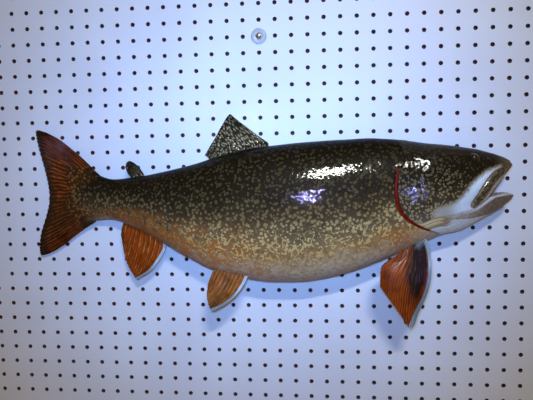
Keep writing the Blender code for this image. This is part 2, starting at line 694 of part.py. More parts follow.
def turned(name, centre, profile, sides):
    """A profile of (radius, height off the board) spun round an axis along y at centre."""
    bm = bmesh.new()
    spots = [bm.verts.new(Vector((radius, -height, 0)) * MM) for radius, height in profile]
    closed = profile[0][0] > 0
    pairs = list(zip(spots, spots[1:])) + ([(spots[-1], spots[0])] if closed else [])
    edges = [bm.edges.new(pair) for pair in pairs]
    bmesh.ops.spin(
        bm, geom=spots + edges, cent=(0, 0, 0), axis=(0, 1, 0), angle=2 * math.pi, steps=sides,
        use_merge=True,
    )
    bmesh.ops.remove_doubles(bm, verts=bm.verts, dist=0.000001)
    bmesh.ops.recalc_face_normals(bm, faces=bm.faces)
    bmesh.ops.translate(bm, verts=bm.verts, vec=Vector((centre[0], FACE, centre[1])) * MM)
    return finish_mesh(name, bm)


def build_block(trunk):
    """The plywood block in the fish's back, with its flush steel hanger plate."""
    rear = FACE - GAP
    outline = round_rectangle((0, 0), BLOCK_LENGTH, BLOCK_HEIGHT, BLOCK_CORNER, 6)
    pocket = prism("block_pocket", grown(outline, GAP), rear - BLOCK_THICK - GAP, FACE + 10)
    boolean(trunk, pocket, "DIFFERENCE")
    block = prism("mounting_block", outline, rear - BLOCK_THICK, rear)

    length, height, thick = HANGER_SIZE
    x, z = BOLT_PLACE[0], BOLT_PLACE[1] - KEYHOLE_RISE / 2
    plate_outline = round_rectangle((x, z), length, height, 5, 5)
    seat = prism("plate_seat", grown(plate_outline, GAP), rear - thick - 2 * GAP, FACE + 10)
    boolean(block, seat, "DIFFERENCE")
    plate = prism("hanger_plate", plate_outline, rear - thick - GAP, rear - GAP)
    low = z - KEYHOLE_RISE / 2
    width = 2 * (BOLT_RADIUS + GAP)
    slot = round_rectangle((x, (low + BOLT_PLACE[1]) / 2), width, KEYHOLE_RISE + width, width / 2 - 0.01, 4)
    boolean(plate, disc("keyhole", (x, low), KEYHOLE_RADIUS, FACE - 20, FACE + 10), "DIFFERENCE")
    boolean(plate, prism("slot", slot, FACE - 20, FACE + 10), "DIFFERENCE")
    hollow = round_rectangle((x, z), 2 * KEYHOLE_RADIUS + 3, KEYHOLE_RISE + 2 * KEYHOLE_RADIUS + 3, 6, 5)
    boolean(block, prism("head_room", hollow, rear - 8, FACE + 10), "DIFFERENCE")
    for side, name in ((-1, "hanger_screw_1"), (1, "hanger_screw_2")):
        centre = (x + side * 16, z)
        hole = SCREW_RADIUS + GAP
        boolean(plate, disc("screw_hole", centre, hole, FACE - 20, FACE + 10), "DIFFERENCE")
        boolean(block, disc("screw_room", centre, hole, rear - 4, FACE + 10), "DIFFERENCE")
        screw = disc(name, centre, SCREW_RADIUS, rear - 4 + GAP, rear - GAP)
        cross = prism("screw_slot", round_rectangle(centre, 0.8, 4.0, 0.2, 1), rear - 1.2, FACE + 10)
        dress(boolean(screw, cross, "DIFFERENCE"), STEEL)
    dress(block, PLYWOOD)
    dress(plate, STEEL)


def build_board():
    """The perforated board, its battens, the fish's hanging bolt and the visible screw."""
    middle = (PANEL_LEFT + PANEL_RIGHT) / 2
    width = PANEL_RIGHT - PANEL_LEFT
    outline = round_rectangle((middle, 0), width, 2 * PANEL_HALF_HEIGHT, 2, 3)
    panel = prism("perforated_board", outline, FACE, FACE + PANEL_THICK)
    for place in (BOLT_PLACE, BOARD_SCREW):
        boolean(panel, disc("peg_hole", place, PEG_RADIUS, FACE - 10, FACE + 20, 12), "DIFFERENCE")
    dress(panel, HARDBOARD)

    for name, column in BATTEN_COLUMNS.items():
        centre = (column * PITCH, 0)
        strip = round_rectangle(centre, BATTEN_WIDTH, 2 * PANEL_HALF_HEIGHT - 2 * PITCH, 1.5, 2)
        batten = prism(name, strip, -BATTEN_THICK, 0)
        if name == "batten_centre":
            hole = disc("pilot_hole", BOARD_SCREW, 2.0 + GAP, -BATTEN_THICK - 10, -BATTEN_THICK + 12)
            boolean(batten, hole, "DIFFERENCE")
        dress(batten, PINE)

    bolt = disc("hanging_bolt", BOLT_PLACE, BOLT_RADIUS, FACE - GAP - 3, -3.0)
    head = disc("bolt_head", BOLT_PLACE, BOLT_HEAD_RADIUS, FACE - GAP - 6, FACE - GAP - 2.2)
    dress(boolean(bolt, head, "UNION"), STEEL)
    nut = disc("hanging_nut", BOLT_PLACE, 5.0, FACE + PANEL_THICK + GAP, FACE + PANEL_THICK + GAP + 4.5, 6)
    nut_hole = disc("nut_hole", BOLT_PLACE, BOLT_RADIUS + GAP, -40, 10)
    dress(boolean(nut, nut_hole, "DIFFERENCE"), STEEL)

    dress(turned("board_washer", BOARD_SCREW, WASHER_PROFILE, 20), WASHER_WHITE)
    dress(turned("board_screw", BOARD_SCREW, SCREW_PROFILE, 12), STEEL)


def main():
    """Builds the whole mount."""
    clear_scene()
    build_board()
    trunk, stem, head, jaw = build_flesh()
    build_block(trunk)
    build_gills(trunk)
    build_maxillae(head, jaw)
    build_eyes(head)
    build_teeth(head, UPPER_TEETH, 4.2, -1)
    build_teeth(jaw, LOWER_TEETH, 3.6, 1)
    build_tongue()
    for flesh, colour in ((trunk, SKIN_DARK), (stem, SKIN_DARK), (head, SKIN_HEAD), (jaw, SKIN_PALE)):
        dress(flesh, colour)
    build_fins()


main()
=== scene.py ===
"""Mounted lake trout on its perforated board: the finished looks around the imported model.

Frame: +Z up, +X towards the snout, +Y into the wall.  Shapes are worked out in millimetres and
turned into metres by MM when a mesh is made.
"""

import logging
import math
from dataclasses import dataclass
from enum import Enum
from typing import Callable, Sequence

import bmesh
import bpy
import numpy as np
from mathutils import Matrix, Vector
from mathutils.kdtree import KDTree


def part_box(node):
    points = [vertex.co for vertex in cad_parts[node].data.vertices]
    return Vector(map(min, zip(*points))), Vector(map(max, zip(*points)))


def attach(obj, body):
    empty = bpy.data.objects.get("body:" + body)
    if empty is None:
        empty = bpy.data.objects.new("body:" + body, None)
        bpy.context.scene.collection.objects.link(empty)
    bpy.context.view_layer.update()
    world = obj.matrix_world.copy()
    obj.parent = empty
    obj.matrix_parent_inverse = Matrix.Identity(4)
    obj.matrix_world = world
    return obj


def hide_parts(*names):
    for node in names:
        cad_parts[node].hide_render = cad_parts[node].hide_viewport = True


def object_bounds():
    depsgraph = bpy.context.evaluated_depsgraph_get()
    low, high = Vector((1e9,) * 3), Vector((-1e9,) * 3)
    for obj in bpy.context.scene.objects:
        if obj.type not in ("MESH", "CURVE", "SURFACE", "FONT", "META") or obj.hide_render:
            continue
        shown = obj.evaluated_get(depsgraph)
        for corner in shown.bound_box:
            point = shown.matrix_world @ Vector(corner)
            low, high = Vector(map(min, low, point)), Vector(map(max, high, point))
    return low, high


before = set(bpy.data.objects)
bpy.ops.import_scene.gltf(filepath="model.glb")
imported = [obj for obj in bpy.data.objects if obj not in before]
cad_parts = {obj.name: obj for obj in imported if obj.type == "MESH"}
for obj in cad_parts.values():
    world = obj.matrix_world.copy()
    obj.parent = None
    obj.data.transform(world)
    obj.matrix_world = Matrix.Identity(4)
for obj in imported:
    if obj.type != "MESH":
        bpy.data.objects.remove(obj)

MM = 0.001
CAD_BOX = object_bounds()
log = logging.getLogger("mounted_trout")

Knots = Sequence[tuple[float, ...]]
Point = tuple[float, float, float]
Colour = tuple[float, float, float]
Array = np.ndarray
BMesh = bmesh.types.BMesh
Mesh = bpy.types.Mesh
Object = bpy.types.Object
Material = bpy.types.Material
Socket = bpy.types.NodeSocket
Ramp = Sequence[tuple[float, Colour]]

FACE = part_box("perforated_board")[0][1] / MM  # y of the board's front face
BACK_PLANE = FACE - 3.0  # the fish's wall side is flat here
MERGE = 0.0005  # points of a surface closer than this are one, in mm


class Side(Enum):
    """The two sides of the fish; the right one faces away from the board."""

    RIGHT = -1
    LEFT = 1

    def node(self, kind: str) -> str:
        """The name of this side's node of a kind."""
        return f"{kind}_{self.name.lower()}"


class Look(Enum):
    """Every finish of the model."""

    SKIN = "trout_skin"
    MOUTH = "mouth_lining"
    SLIT = "gill_slit"
    SCALE = "trout_scales"
    GILL = "gill_red"
    MAXILLA = "upper_jaw_plate"
    EYE = "painted_glass_eye"
    TOOTH = "tooth_ivory"
    TONGUE = "tongue_pink"
    PAINT = "board_paint"
    HARDBOARD = "raw_hardboard"
    PINE = "pine_batten"
    PLYWOOD = "plywood_block"
    STEEL = "zinc_steel"
    WASHER = "clear_washer"


Looks = dict[Look, Material]


# ---- curves
@dataclass(frozen=True)
class Profile:
    """A smooth line through (t, value) knots, without overshoot."""

    knots: Knots

    def __call__(self, t: Array | float) -> Array:
        """Values of the line.

        Args:
            t: where to read it; beyond the ends it keeps the end values.

        Returns:
            An array of values, one for each t.
        """
        x = np.array([k[0] for k in self.knots], float)
        v = np.array([k[1] for k in self.knots], float)
        t = np.clip(np.asarray(t, float), x[0], x[-1])
        slope = np.diff(v) / np.diff(x)
        product = slope[:-1] * slope[1:]
        total = np.where(product > 0, slope[:-1] + slope[1:], 1.0)
        inner = np.where(product > 0, 2 * product / total, 0.0)
        tangent = np.concatenate([slope[:1], inner, slope[-1:]])
        k = np.clip(np.searchsorted(x, t, side="right") - 1, 0, len(x) - 2)
        span = x[k + 1] - x[k]
        f = (t - x[k]) / span
        return (
            v[k] * (1 + 2 * f) * (1 - f) ** 2
            + span * tangent[k] * f * (1 - f) ** 2
            + v[k + 1] * f * f * (3 - 2 * f)
            - span * tangent[k + 1] * f * f * (1 - f)
        )


def along(points: Knots, share: Array | float) -> Array:
    """Points on a smooth curve through the given ones.

    Args:
        points: the curve's own points, of any dimension.
        share: how far along the curve, from 0 to 1.

    Returns:
        One row for each share.
    """
    p = np.asarray(points, float)
    p = np.vstack([2 * p[:1] - p[1:2], p, 2 * p[-1:] - p[-2:-1]])
    last = len(points) - 1
    spot = np.atleast_1d(np.asarray(share, float)) * last
    k = np.minimum(spot.astype(int), last - 1)
    g = (spot - k)[:, None]
    o, a, b, r = p[k], p[k + 1], p[k + 2], p[k + 3]
    cubic = (3 * a - o - 3 * b + r) * g ** 3
    return 0.5 * (2 * a + (b - o) * g + (2 * o - 5 * a + 4 * b - r) * g * g + cubic)


def resampled(points: Knots, count: int) -> Array:
    """count points along a smooth curve through the given ones."""
    return along(points, np.linspace(0, 1, count))


def fade(value: Array, start: float, end: float) -> Array:
    """A smooth step from 0 at start to 1 at end."""
    f = np.clip((value - start) / (end - start), 0, 1)
    return f * f * (3 - 2 * f)


def bell(value: Array, width: float) -> Array:
    """A bell curve of 1 at 0 that has nearly died out at twice the width."""
    return np.exp(-((value / width) ** 2))


def line_frame(line: Array, x: Array, z: Array) -> tuple[Array, Array]:
    """Where points lie about a line in the x-z plane.

    Args:
        line: the line's points.
        x: the points' x.
        z: the points' z.

    Returns:
        The signed distance, positive to the left of the line's run, and the share along it.
    """
    best = np.full(x.shape, 1e9)
    sign = np.ones(x.shape)
    share = np.zeros(x.shape)
    for k, (a, b) in enumerate(zip(line[:-1], line[1:])):
        dx, dz = b - a
        f = np.clip(((x - a[0]) * dx + (z - a[1]) * dz) / (dx * dx + dz * dz), 0, 1)
        gap = np.hypot(x - a[0] - f * dx, z - a[1] - f * dz)
        near = gap < best
        best = np.where(near, gap, best)
        sign = np.where(near, np.sign(dx * (z - a[1]) - dz * (x - a[0])), sign)
        share = np.where(near, (k + f) / (len(line) - 1), share)
    return best * sign, share


def about(points: Knots, count: int, x: Array, z: Array) -> tuple[Array, Array]:
    """line_frame about a smooth curve of count points through the given ones."""
    return line_frame(resampled(points, count), x, z)


def columns(*values: Array | float) -> Array:
    """Arrays and numbers side by side, along a new last axis."""
    return np.stack(np.broadcast_arrays(*values), axis=-1)


def unit(rows: Array) -> Array:
    """Rows of vectors, each made one long."""
    return rows / np.maximum(np.linalg.norm(rows, axis=-1, keepdims=True), 1e-9)


def inside(outline: Knots, x: Array, z: Array, soft: float) -> Array:
    """A mask of a closed x-z outline, 1 inside and 0 outside.

    Args:
        outline: the outline's points in order.
        x: the points' x.
        z: the points' z.
        soft: the width of the mask's soft edge, in mm.

    Returns:
        The mask's values.
    """
    ring = np.asarray(outline, float)
    within = np.zeros(x.shape, bool)
    for a, b in zip(ring, np.roll(ring, -1, axis=0)):
        crosses = (a[1] > z) != (b[1] > z)
        rise = b[1] - a[1] if b[1] != a[1] else 1e-9
        within ^= crosses & (x < a[0] + (z - a[1]) / rise * (b[0] - a[0]))
    gap, _ = line_frame(np.vstack([ring, ring[:1]]), x, z)
    return fade(np.where(within, 1, -1) * np.abs(gap), -soft / 2, soft / 2)


# ---- lines of the fish
GILL_LINE = [
    (170, 130), (186, 96), (190, 72), (183, 60), (179.5, 50), (177.5, 33), (179, 15), (185, -3),
    (199, -17), (221, -30), (243, -40), (262, -60),
]
GILL_SLOT = [*GILL_LINE[3:9], (214, -26.5), (228, -33)]
JAW_LINE = [
    (200, -26), (221, -24), (233, -16.5), (246, -13), (263, -11), (285, -6), (296, 0.5), (306, 8),
    (311, 13), (314.5, 17.5),
]
MOUTH_TOP = [
    (312, 15.2), (320, 26), (326, 33.5), (332, 41), (340, 49), (345, 54), (349, 57.5), (353, 59.5),
    (372, 61),
]
MOUTH_FLOOR = [
    (372, 13), (354.5, 15), (351, 17), (344, 19), (336, 18.8), (326, 17.4), (318, 16), (312, 14.6),
]
MAXILLA_REAR = [
    (340.5, 53), (337, 57), (333, 58.5), (327, 57), (316, 50), (305, 37), (296, 23.5), (287.5, 11),
    (284.5, 4), (286, 0.5),
]
MAXILLA_FRONT = [
    (340.5, 53), (339, 50), (337, 47.5), (331.5, 41.5), (325.5, 34), (319.5, 26.5), (312.5, 16), (306, 9),
    (297, 1.5), (291, -1), (286, 0.5),
]
STEM_ARC = [
    (-300, 100), (-312, 66), (-326, 46), (-337, 30), (-342, 10), (-336, -10), (-324, -25), (-312, -40),
    (-305, -70),
]
CHEEK_PATCH = [
    (330, 59), (322, 57), (309, 53), (297, 45), (285, 34.5), (273, 18), (262, 9), (248, 4), (237, 1),
    (229, -6), (233, -13), (246, -13), (263, -11), (285, -6), (298, -1), (301, 4), (296, 6), (298, 22),
    (307, 36), (318, 50),
]
JAW_BAND = [
    (236, -14), (262, -12), (286, -7), (299, -1), (311, 8), (322, 14.5), (340, 16.5), (352, 16),
    (358, 13), (352, 5), (336, -6), (316, -12), (292, -16), (262, -17),
]
JAW_LIP = [(293, -2.5), (303, 4), (311, 11.5), (318, 15), (330, 17), (343, 18)]
GILL_FOLDS = [(203, -19), (214, -20), (228, -15), (241, -12.5), (250, -13)]
PREOPERCLE = [(222, 66), (214, 52), (213, 36), (217, 22), (226, 10), (238, 2)]
LATERAL_LINE = [(182, 36), (120, 30), (40, 22), (-60, 16), (-180, 13), (-330, 13)]


@dataclass(frozen=True)
class BodyForm:
    """The fish's body without fins, as rounded sections along x."""

    back: Profile = Profile([
        (-346, 84), (-318, 69), (-290, 53), (-262, 46), (-225, 50), (-180, 57), (-130, 68), (-80, 82),
        (-30, 93), (20, 97.5), (80, 101.5), (135, 103.5), (185, 101), (235, 94.5), (275, 89), (305, 83),
        (325, 77.5), (340, 71.5), (347, 66.5), (351, 61), (354, 52),
    ])
    belly: Profile = Profile([
        (-346, -50), (-318, -33), (-297, -22.5), (-272, -20.5), (-229, -32), (-199, -46), (-174, -60),
        (-136, -81), (-95, -99), (-50, -109.5), (0, -115), (40, -113.5), (85, -106), (124, -94.5),
        (159, -81), (190, -67.5), (229, -50.5), (246, -43.5), (274, -37.5), (295, -27), (321, -12.5),
        (336, -3.5), (346, 4), (352, 9.5), (354, 14),
    ])
    half_width: Profile = Profile([
        (-346, 1.2), (-338, 1.7), (-327, 3.4), (-310, 8.2), (-290, 13), (-262, 17), (-230, 22.5),
        (-190, 30), (-150, 37), (-100, 44.5), (-50, 50), (0, 53), (50, 53.5), (100, 51.5), (140, 48.5),
        (180, 45), (220, 41.5), (250, 38), (280, 33.5), (305, 28.5), (325, 23), (338, 17.8), (346, 13),
        (351, 8.6), (354, 4),
    ])
    widest: Profile = Profile([
        (-346, 14), (-262, 12), (-150, 0), (-50, -5), (50, -7), (130, -3), (190, 7), (250, 18), (300, 26),
        (354, 32),
    ])
    stand_off: Profile = Profile([
        (-400, 11), (-346, 11.5), (-300, 15.5), (-262, 21), (-200, 31), (-150, 37.5), (-100, 42),
        (-50, 44), (0, 45), (100, 46.5), (200, 46.5), (250, 43.5), (300, 39), (354, 35),
    ])
    upper_round: Profile = Profile([
        (-346, 2.0), (-200, 2.05), (100, 2.15), (200, 2.4), (270, 2.9), (320, 2.6), (354, 2.2),
    ])
    lower_round: Profile = Profile([
        (-346, 2.0), (-200, 2.05), (100, 2.15), (200, 1.95), (270, 1.85), (320, 2.1), (354, 2.2),
    ])
    tail_end: float = -346.0
    snout_end: float = 354.0

    def middle(self, x: Array | float) -> Array:
        """y of the sagittal plane at x."""
        return FACE - self.stand_off(x)

    def reach(self, x: Array, upper: Array, grow: float = 0.0) -> tuple[Array, ...]:
        """Half height, half width and roundness of the sections' upper or lower half.

        Args:
            x: places along the fish.
            upper: true where the upper half is meant.
            grow: mm added all round.

        Returns:
            The three measures, one of each for each x.
        """
        level = self.widest(x)
        height = np.where(upper, self.back(x) + grow - level, level - self.belly(x) + grow)
        width = np.maximum(self.half_width(x) + grow, 0.4)
        return height, width, np.where(upper, self.upper_round(x), self.lower_round(x))

    def surface(self, x: Array, angle: Array) -> Array:
        """Points on the body.

        Args:
            x: the sections.
            angle: the way round a section from the back, towards the board.

        Returns:
            One row (x, y, z) for each pair.
        """
        c, s = np.cos(angle), np.sin(angle)
        height, width, n = self.reach(x, c > 0)
        z = self.widest(x) + np.sign(c) * height * np.abs(c) ** (2 / n)
        y = self.middle(x) + np.sign(s) * width * np.abs(s) ** (2 / n)
        return columns(x, y, z)

    def breadth(self, x: Array, z: Array, grow: float = 0.0) -> Array:
        """Distance from the sagittal plane to the surface, 0 above the back or under the belly.

        Args:
            x: places along the fish.
            z: their heights.
            grow: mm added all round.

        Returns:
            The distance in mm.
        """
        x, z = np.broadcast_arrays(np.asarray(x, float), np.asarray(z, float))
        height, width, n = self.reach(x, z > self.widest(x), grow)
        share = np.clip(np.abs(z - self.widest(x)) / height, 0, 1)
        return width * (1 - share ** n) ** (1 / n)

    def level(self, points: Array) -> Array:
        """A number that is 0 on the surface and grows outwards, for rows of points.

        Args:
            points: rows of x, y, z.

        Returns:
            One number for each row.
        """
        x, y, z = points[:, 0], points[:, 1], points[:, 2]
        height, width, n = self.reach(x, z > self.widest(x))
        rise = np.abs(z - self.widest(x)) / height
        side = np.abs(y - self.middle(x)) / width
        return (rise ** n + side ** n) ** (1 / n)

    def normals(self, points: Array) -> Array:
        """Outward unit normals at rows of points on or near the surface.

        Args:
            points: rows of x, y, z.

        Returns:
            One unit vector for each row.
        """
        step = 0.4
        slopes = []
        for axis in range(3):
            shift = np.zeros(3)
            shift[axis] = step
            slopes.append(self.level(points + shift) - self.level(points - shift))
        return unit(columns(*slopes))

    def on_side(self, x: Array, z: Array, side: Side) -> Array:
        """Rows of points on one side of the body, at x and z."""
        return columns(x, self.middle(x) + side.value * self.breadth(x, z), z)

    def girth_share(self, points: Array) -> Array:
        """Height of points between the belly, 0, and the back, 1."""
        low, high = self.belly(points[:, 0]), self.back(points[:, 0])
        return np.clip((points[:, 2] - low) / (high - low), 0, 1)


FORM = BodyForm()


@dataclass(frozen=True)
class Eyeball:
    """One glass eye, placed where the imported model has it."""

    centre: Array
    radius: float

    @classmethod
    def of(cls, node: str) -> "Eyeball":
        """The ball that a node's box holds, in mm."""
        low, high = (np.array(corner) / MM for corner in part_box(node))
        return cls((low + high) / 2, float(max(high - low)) / 2)

    def axis(self) -> Array:
        """The direction the eye looks in."""
        return FORM.normals(self.centre[None, :])[0]


EYES = {side: Eyeball.of(side.node("eye")) for side in Side}


@dataclass(frozen=True)
class Carving:
    """Small forms of the head and flanks, as heights in mm above the plain body."""

    coat_depth: float = -0.8
    cover_proud: float = 1.5
    cover_fall: float = 16.0
    seam_depth: float = 0.45
    fold_height: float = 0.8
    fold_pitch: float = 5.2
    nostrils: Knots = ((313.5, 69.0), (309.0, 70.0))

    def gill_cover(self, x: Array, z: Array) -> Array:
        """The gill cover stands proud at its rear edge, and its bones part at two seams.

        Args:
            x: places along the fish.
            z: their heights.

        Returns:
            The relief in mm.
        """
        gap, share = about(GILL_LINE[1:-1], 40, x, z)
        ends = fade(share, 0.02, 0.2) * fade(share, 1.0, 0.8)
        cover = np.where(gap > 0, bell(gap, self.cover_fall), 0) * ends * self.cover_proud
        seam, at = about(PREOPERCLE, 30, x, z)
        seam_ends = fade(at, 0.0, 0.15) * fade(at, 1.0, 0.85)
        plate = np.where(seam > 0, bell(seam, 9.0), 0) * 0.35 * seam_ends
        return cover + plate - self.seam_depth * bell(seam + 0.8, 1.5) * seam_ends

    def gill_folds(self, x: Array, z: Array) -> Array:
        """The folded skin under the gill cover, in ridges that follow its lower edge.

        Args:
            x: places along the fish.
            z: their heights.

        Returns:
            The relief in mm.
        """
        gap, share = about(GILL_FOLDS, 24, x, z)
        below = np.where(gap < 0, -gap, 0)
        room = fade(share, 0.0, 0.12) * fade(x, 285, 245) * fade(below, 26, 16) * (x > 196)
        ridge = np.abs(np.sin(np.pi * below / self.fold_pitch)) ** 0.6
        edge = 0.7 * np.where(gap > 0, bell(gap, 4.0), 0) * fade(share, 0.0, 0.2) * (x < 256)
        return room * (self.fold_height * ridge - 0.6) + edge

    def jaws(self, x: Array, z: Array) -> Array:
        """The groove over the lower jaw, the hollow beside the maxilla and the swollen lips.

        Args:
            x: places along the fish.
            z: their heights.

        Returns:
            The relief in mm.
        """
        jaw, share = about(JAW_LINE, 40, x, z)
        groove = -self.seam_depth * bell(jaw, 1.6) * fade(share, 0.2, 0.35)
        swell = 0.6 * np.where(jaw < 0, bell(jaw + 6, 5.0), 0) * fade(x, 240, 290)
        rear, at = about(MAXILLA_REAR, 40, x, z)
        hollow = -0.9 * bell(rear, 2.4) * fade(at, 0.0, 0.1)
        top, _ = about(MOUTH_TOP, 40, x, z)
        floor, _ = about(MOUTH_FLOOR, 30, x, z)
        lips = 0.7 * bell(np.abs(top) - 1.8, 1.6) + 0.5 * bell(np.abs(floor) - 1.6, 1.4)
        snout = 0.9 * bell(np.hypot(x - 343, z - 63), 8.0)
        return groove + swell + hollow + lips * fade(x, 296, 310) + snout

    def eye_surround(self, points: Array) -> Array:
        """A low rim round each eye, a brow over it and the paired nostrils.

        Args:
            points: rows of x, y, z.

        Returns:
            The relief in mm.
        """
        x, z = points[:, 0], points[:, 2]
        out = np.zeros(len(points))
        for eye in EYES.values():
            reach = np.linalg.norm(points - eye.centre, axis=1)
            out += 0.3 * bell(reach - eye.radius - 1.6, 1.5)
            brow = np.hypot((x - eye.centre[0]) / 13, (z - eye.centre[2] - 11) / 3.5)
            out += np.where(reach < 30, 0.6 * bell(brow, 1.0), 0)
        for spot_x, spot_z in self.nostrils:
            gap = np.hypot(x - spot_x, z - spot_z)
            out += 0.7 * bell(gap - 2.4, 0.9) - 2.2 * bell(gap, 1.3)
        return out

    def flanks(self, x: Array, z: Array) -> Array:
        """The lateral line and the slight unevenness of a skin over its form.

        Args:
            x: places along the fish.
            z: their heights.

        Returns:
            The relief in mm.
        """
        line, _ = about(LATERAL_LINE, 60, x, z)
        groove = -0.35 * bell(line, 0.9) * fade(x, 184, 176)
        waves = (
            np.sin(x / 17.0 + 1.3 * np.sin(z / 23.0)) * np.sin(z / 14.0 + 0.8)
            + 0.6 * np.sin(x / 9.0 - z / 12.0 + 0.4)
        )
        return groove + 0.22 * waves * fade(x, 352, 330)

    def height(self, points: Array) -> Array:
        """The whole relief at rows of points on the plain body, in mm.

        Args:
            points: rows of x, y, z.

        Returns:
            One height for each row.
        """
        x, z = points[:, 0], points[:, 2]
        out = self.coat_depth + self.flanks(x, z)
        head = x > 160
        if head.any():
            hx, hz = x[head], z[head]
            forms = self.gill_cover(hx, hz) + self.gill_folds(hx, hz) + self.jaws(hx, hz)
            out[head] += forms + self.eye_surround(points[head])
        return out


CARVING = Carving()


def skin_points(points: Array, extra: float = 0.0) -> tuple[Array, Array]:
    """Moves points of the plain body onto the finished skin.

    Args:
        points: rows of points on the plain body.
        extra: a further height over the skin, in mm.

    Returns:
        The moved points and the outward normals there.
    """
    normal = FORM.normals(points)
    moved = points + normal * (CARVING.height(points) + extra)[:, None]
    moved[:, 1] = np.minimum(moved[:, 1], BACK_PLANE)
    return moved, normal


# ---- making meshes
class Shop:
    """Turns bmeshes into finished pieces that ride on the mount."""

    def __init__(self) -> None:
        """Opens a collection for the pieces."""
        self.collection = bpy.data.collections.new("mounted_trout")
        bpy.context.scene.collection.children.link(self.collection)

    def loose(self, name: str, bm: BMesh) -> Object:
        """An object from a bmesh in mm, not yet a piece of the model.

        Args:
            name: the object's name.
            bm: its shape, which is used up.

        Returns:
            The object.
        """
        bmesh.ops.scale(bm, vec=(MM,) * 3, verts=bm.verts)
        mesh = bpy.data.meshes.new(name)
        bm.to_mesh(mesh)
        bm.free()
        return self.add(name, mesh)

    def add(self, name: str, mesh: Mesh) -> Object:
        """An object around a finished mesh.

        Args:
            name: the object's name.
            mesh: its mesh.

        Returns:
            The object.
        """
        made = bpy.data.objects.new(name, mesh)
        self.collection.objects.link(made)
        return made

    def finish(
        self, made: Object, material: Material | None, slot: str,
        nodes: Sequence[str] = (), sharp: float = 50.0,
    ) -> None:
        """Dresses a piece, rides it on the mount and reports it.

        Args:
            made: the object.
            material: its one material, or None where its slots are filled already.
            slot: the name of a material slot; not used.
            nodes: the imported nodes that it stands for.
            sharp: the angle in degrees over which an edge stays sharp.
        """
        if material:
            made.data.materials.clear()
            made.data.materials.append(material)
        made.data.shade_smooth()
        made.data.set_sharp_from_angle(angle=math.radians(sharp))
        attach(made, "root")
        if nodes:
            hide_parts(*nodes)
        log.info("%s: %d faces", made.name, len(made.data.polygons))


def outwards(bm: BMesh) -> BMesh:
    """The bmesh, with its faces turned outwards."""
    bmesh.ops.recalc_face_normals(bm, faces=bm.faces)
    return bm


def grid_mesh(bm: BMesh, rows: Array) -> None:
    """Adds a grid whose corners lie at points of shape (rows, columns, 3).

    Args:
        bm: what the grid is added to.
        rows: the points.
    """
    tall, wide = rows.shape[:2]
    made = bmesh.ops.create_grid(bm, x_segments=wide - 1, y_segments=tall - 1, size=1.0)
    for vert in made["verts"]:
        column = round((vert.co.x + 1) / 2 * (wide - 1))
        row = round((vert.co.y + 1) / 2 * (tall - 1))
        vert.co = Vector(rows[row, column])


def drawn_out(bm: BMesh, depth: float) -> None:
    """Gives a bmesh's faces thickness along y and turns them outwards.

    Args:
        bm: the faces.
        depth: the thickness, negative towards the viewer.
    """
    drawn = bmesh.ops.extrude_face_region(bm, geom=bm.faces[:])
    moved = [v for v in drawn["geom"] if isinstance(v, bmesh.types.BMVert)]
    bmesh.ops.translate(bm, verts=moved, vec=(0, depth, 0))
    outwards(bm)


def closed_loft(rows: Array) -> BMesh:
    """A closed bmesh through rings of points.

    Args:
        rows: points of shape (rings, points round, 3).

    Returns:
        The bmesh, its two ends filled and its faces pointing outwards.
    """
    bm = bmesh.new()
    grid_mesh(bm, np.concatenate([rows, rows[:, :1]], axis=1))
    bmesh.ops.remove_doubles(bm, verts=bm.verts, dist=MERGE)
    bmesh.ops.holes_fill(bm, edges=[e for e in bm.edges if e.is_boundary], sides=0)
    bmesh.ops.triangulate(bm, faces=[f for f in bm.faces if len(f.verts) > 4])
    return outwards(bm)


def closed_sheet(front: Array, back: Array) -> BMesh:
    """A closed bmesh between two grids of points that share their borders.

    Args:
        front: points of shape (rows, columns, 3).
        back: as many on the other face.

    Returns:
        The bmesh, its faces pointing outwards.
    """
    bm = bmesh.new()
    grid_mesh(bm, front)
    grid_mesh(bm, back)
    border = [v for v in bm.verts if v.is_boundary]
    bmesh.ops.remove_doubles(bm, verts=border, dist=MERGE)
    return outwards(bm)


def slab(outline: Array, y_low: float, y_high: float) -> BMesh:
    """A closed x-z outline drawn out along y.

    Args:
        outline: rows of x, z.
        y_low: where it begins.
        y_high: where it ends.

    Returns:
        The bmesh, its faces pointing outwards.
    """
    bm = bmesh.new()
    bm.faces.new([bm.verts.new((x, y_low, z)) for x, z in outline])
    drawn_out(bm, y_high - y_low)
    return bm


def settled(made: Object) -> Mesh:
    """Turns an object's modifiers into its mesh, and returns the mesh.

    Args:
        made: the object.

    Returns:
        Its new mesh.
    """
    bpy.context.view_layer.update()
    graph = bpy.context.evaluated_depsgraph_get()
    mesh = bpy.data.meshes.new_from_object(made.evaluated_get(graph))
    made.modifiers.clear()
    made.data = mesh
    return mesh


def coordinates(mesh: Mesh) -> Array:
    """The vertices of a mesh as rows, in mm.

    Args:
        mesh: the mesh.

    Returns:
        One row (x, y, z) for each vertex.
    """
    flat = np.empty(len(mesh.vertices) * 3)
    mesh.vertices.foreach_get("co", flat)
    return flat.reshape(-1, 3) / MM


def store(mesh: Mesh, name: str, *values: Array) -> None:
    """Keeps two to four numbers of each vertex as an attribute.

    Args:
        mesh: the mesh.
        name: the attribute's name.
        values: one number for each vertex in each.
    """
    four = len(values) == 4
    rows = np.zeros((len(mesh.vertices), 4 if four else 3), np.float32)
    rows[:, :len(values)] = columns(*values)
    kind = "FLOAT_COLOR" if four else "FLOAT_VECTOR"
    layer = mesh.attributes.get(name) or mesh.attributes.new(name, kind, "POINT")
    layer.data.foreach_set("color" if four else "vector", rows.ravel())


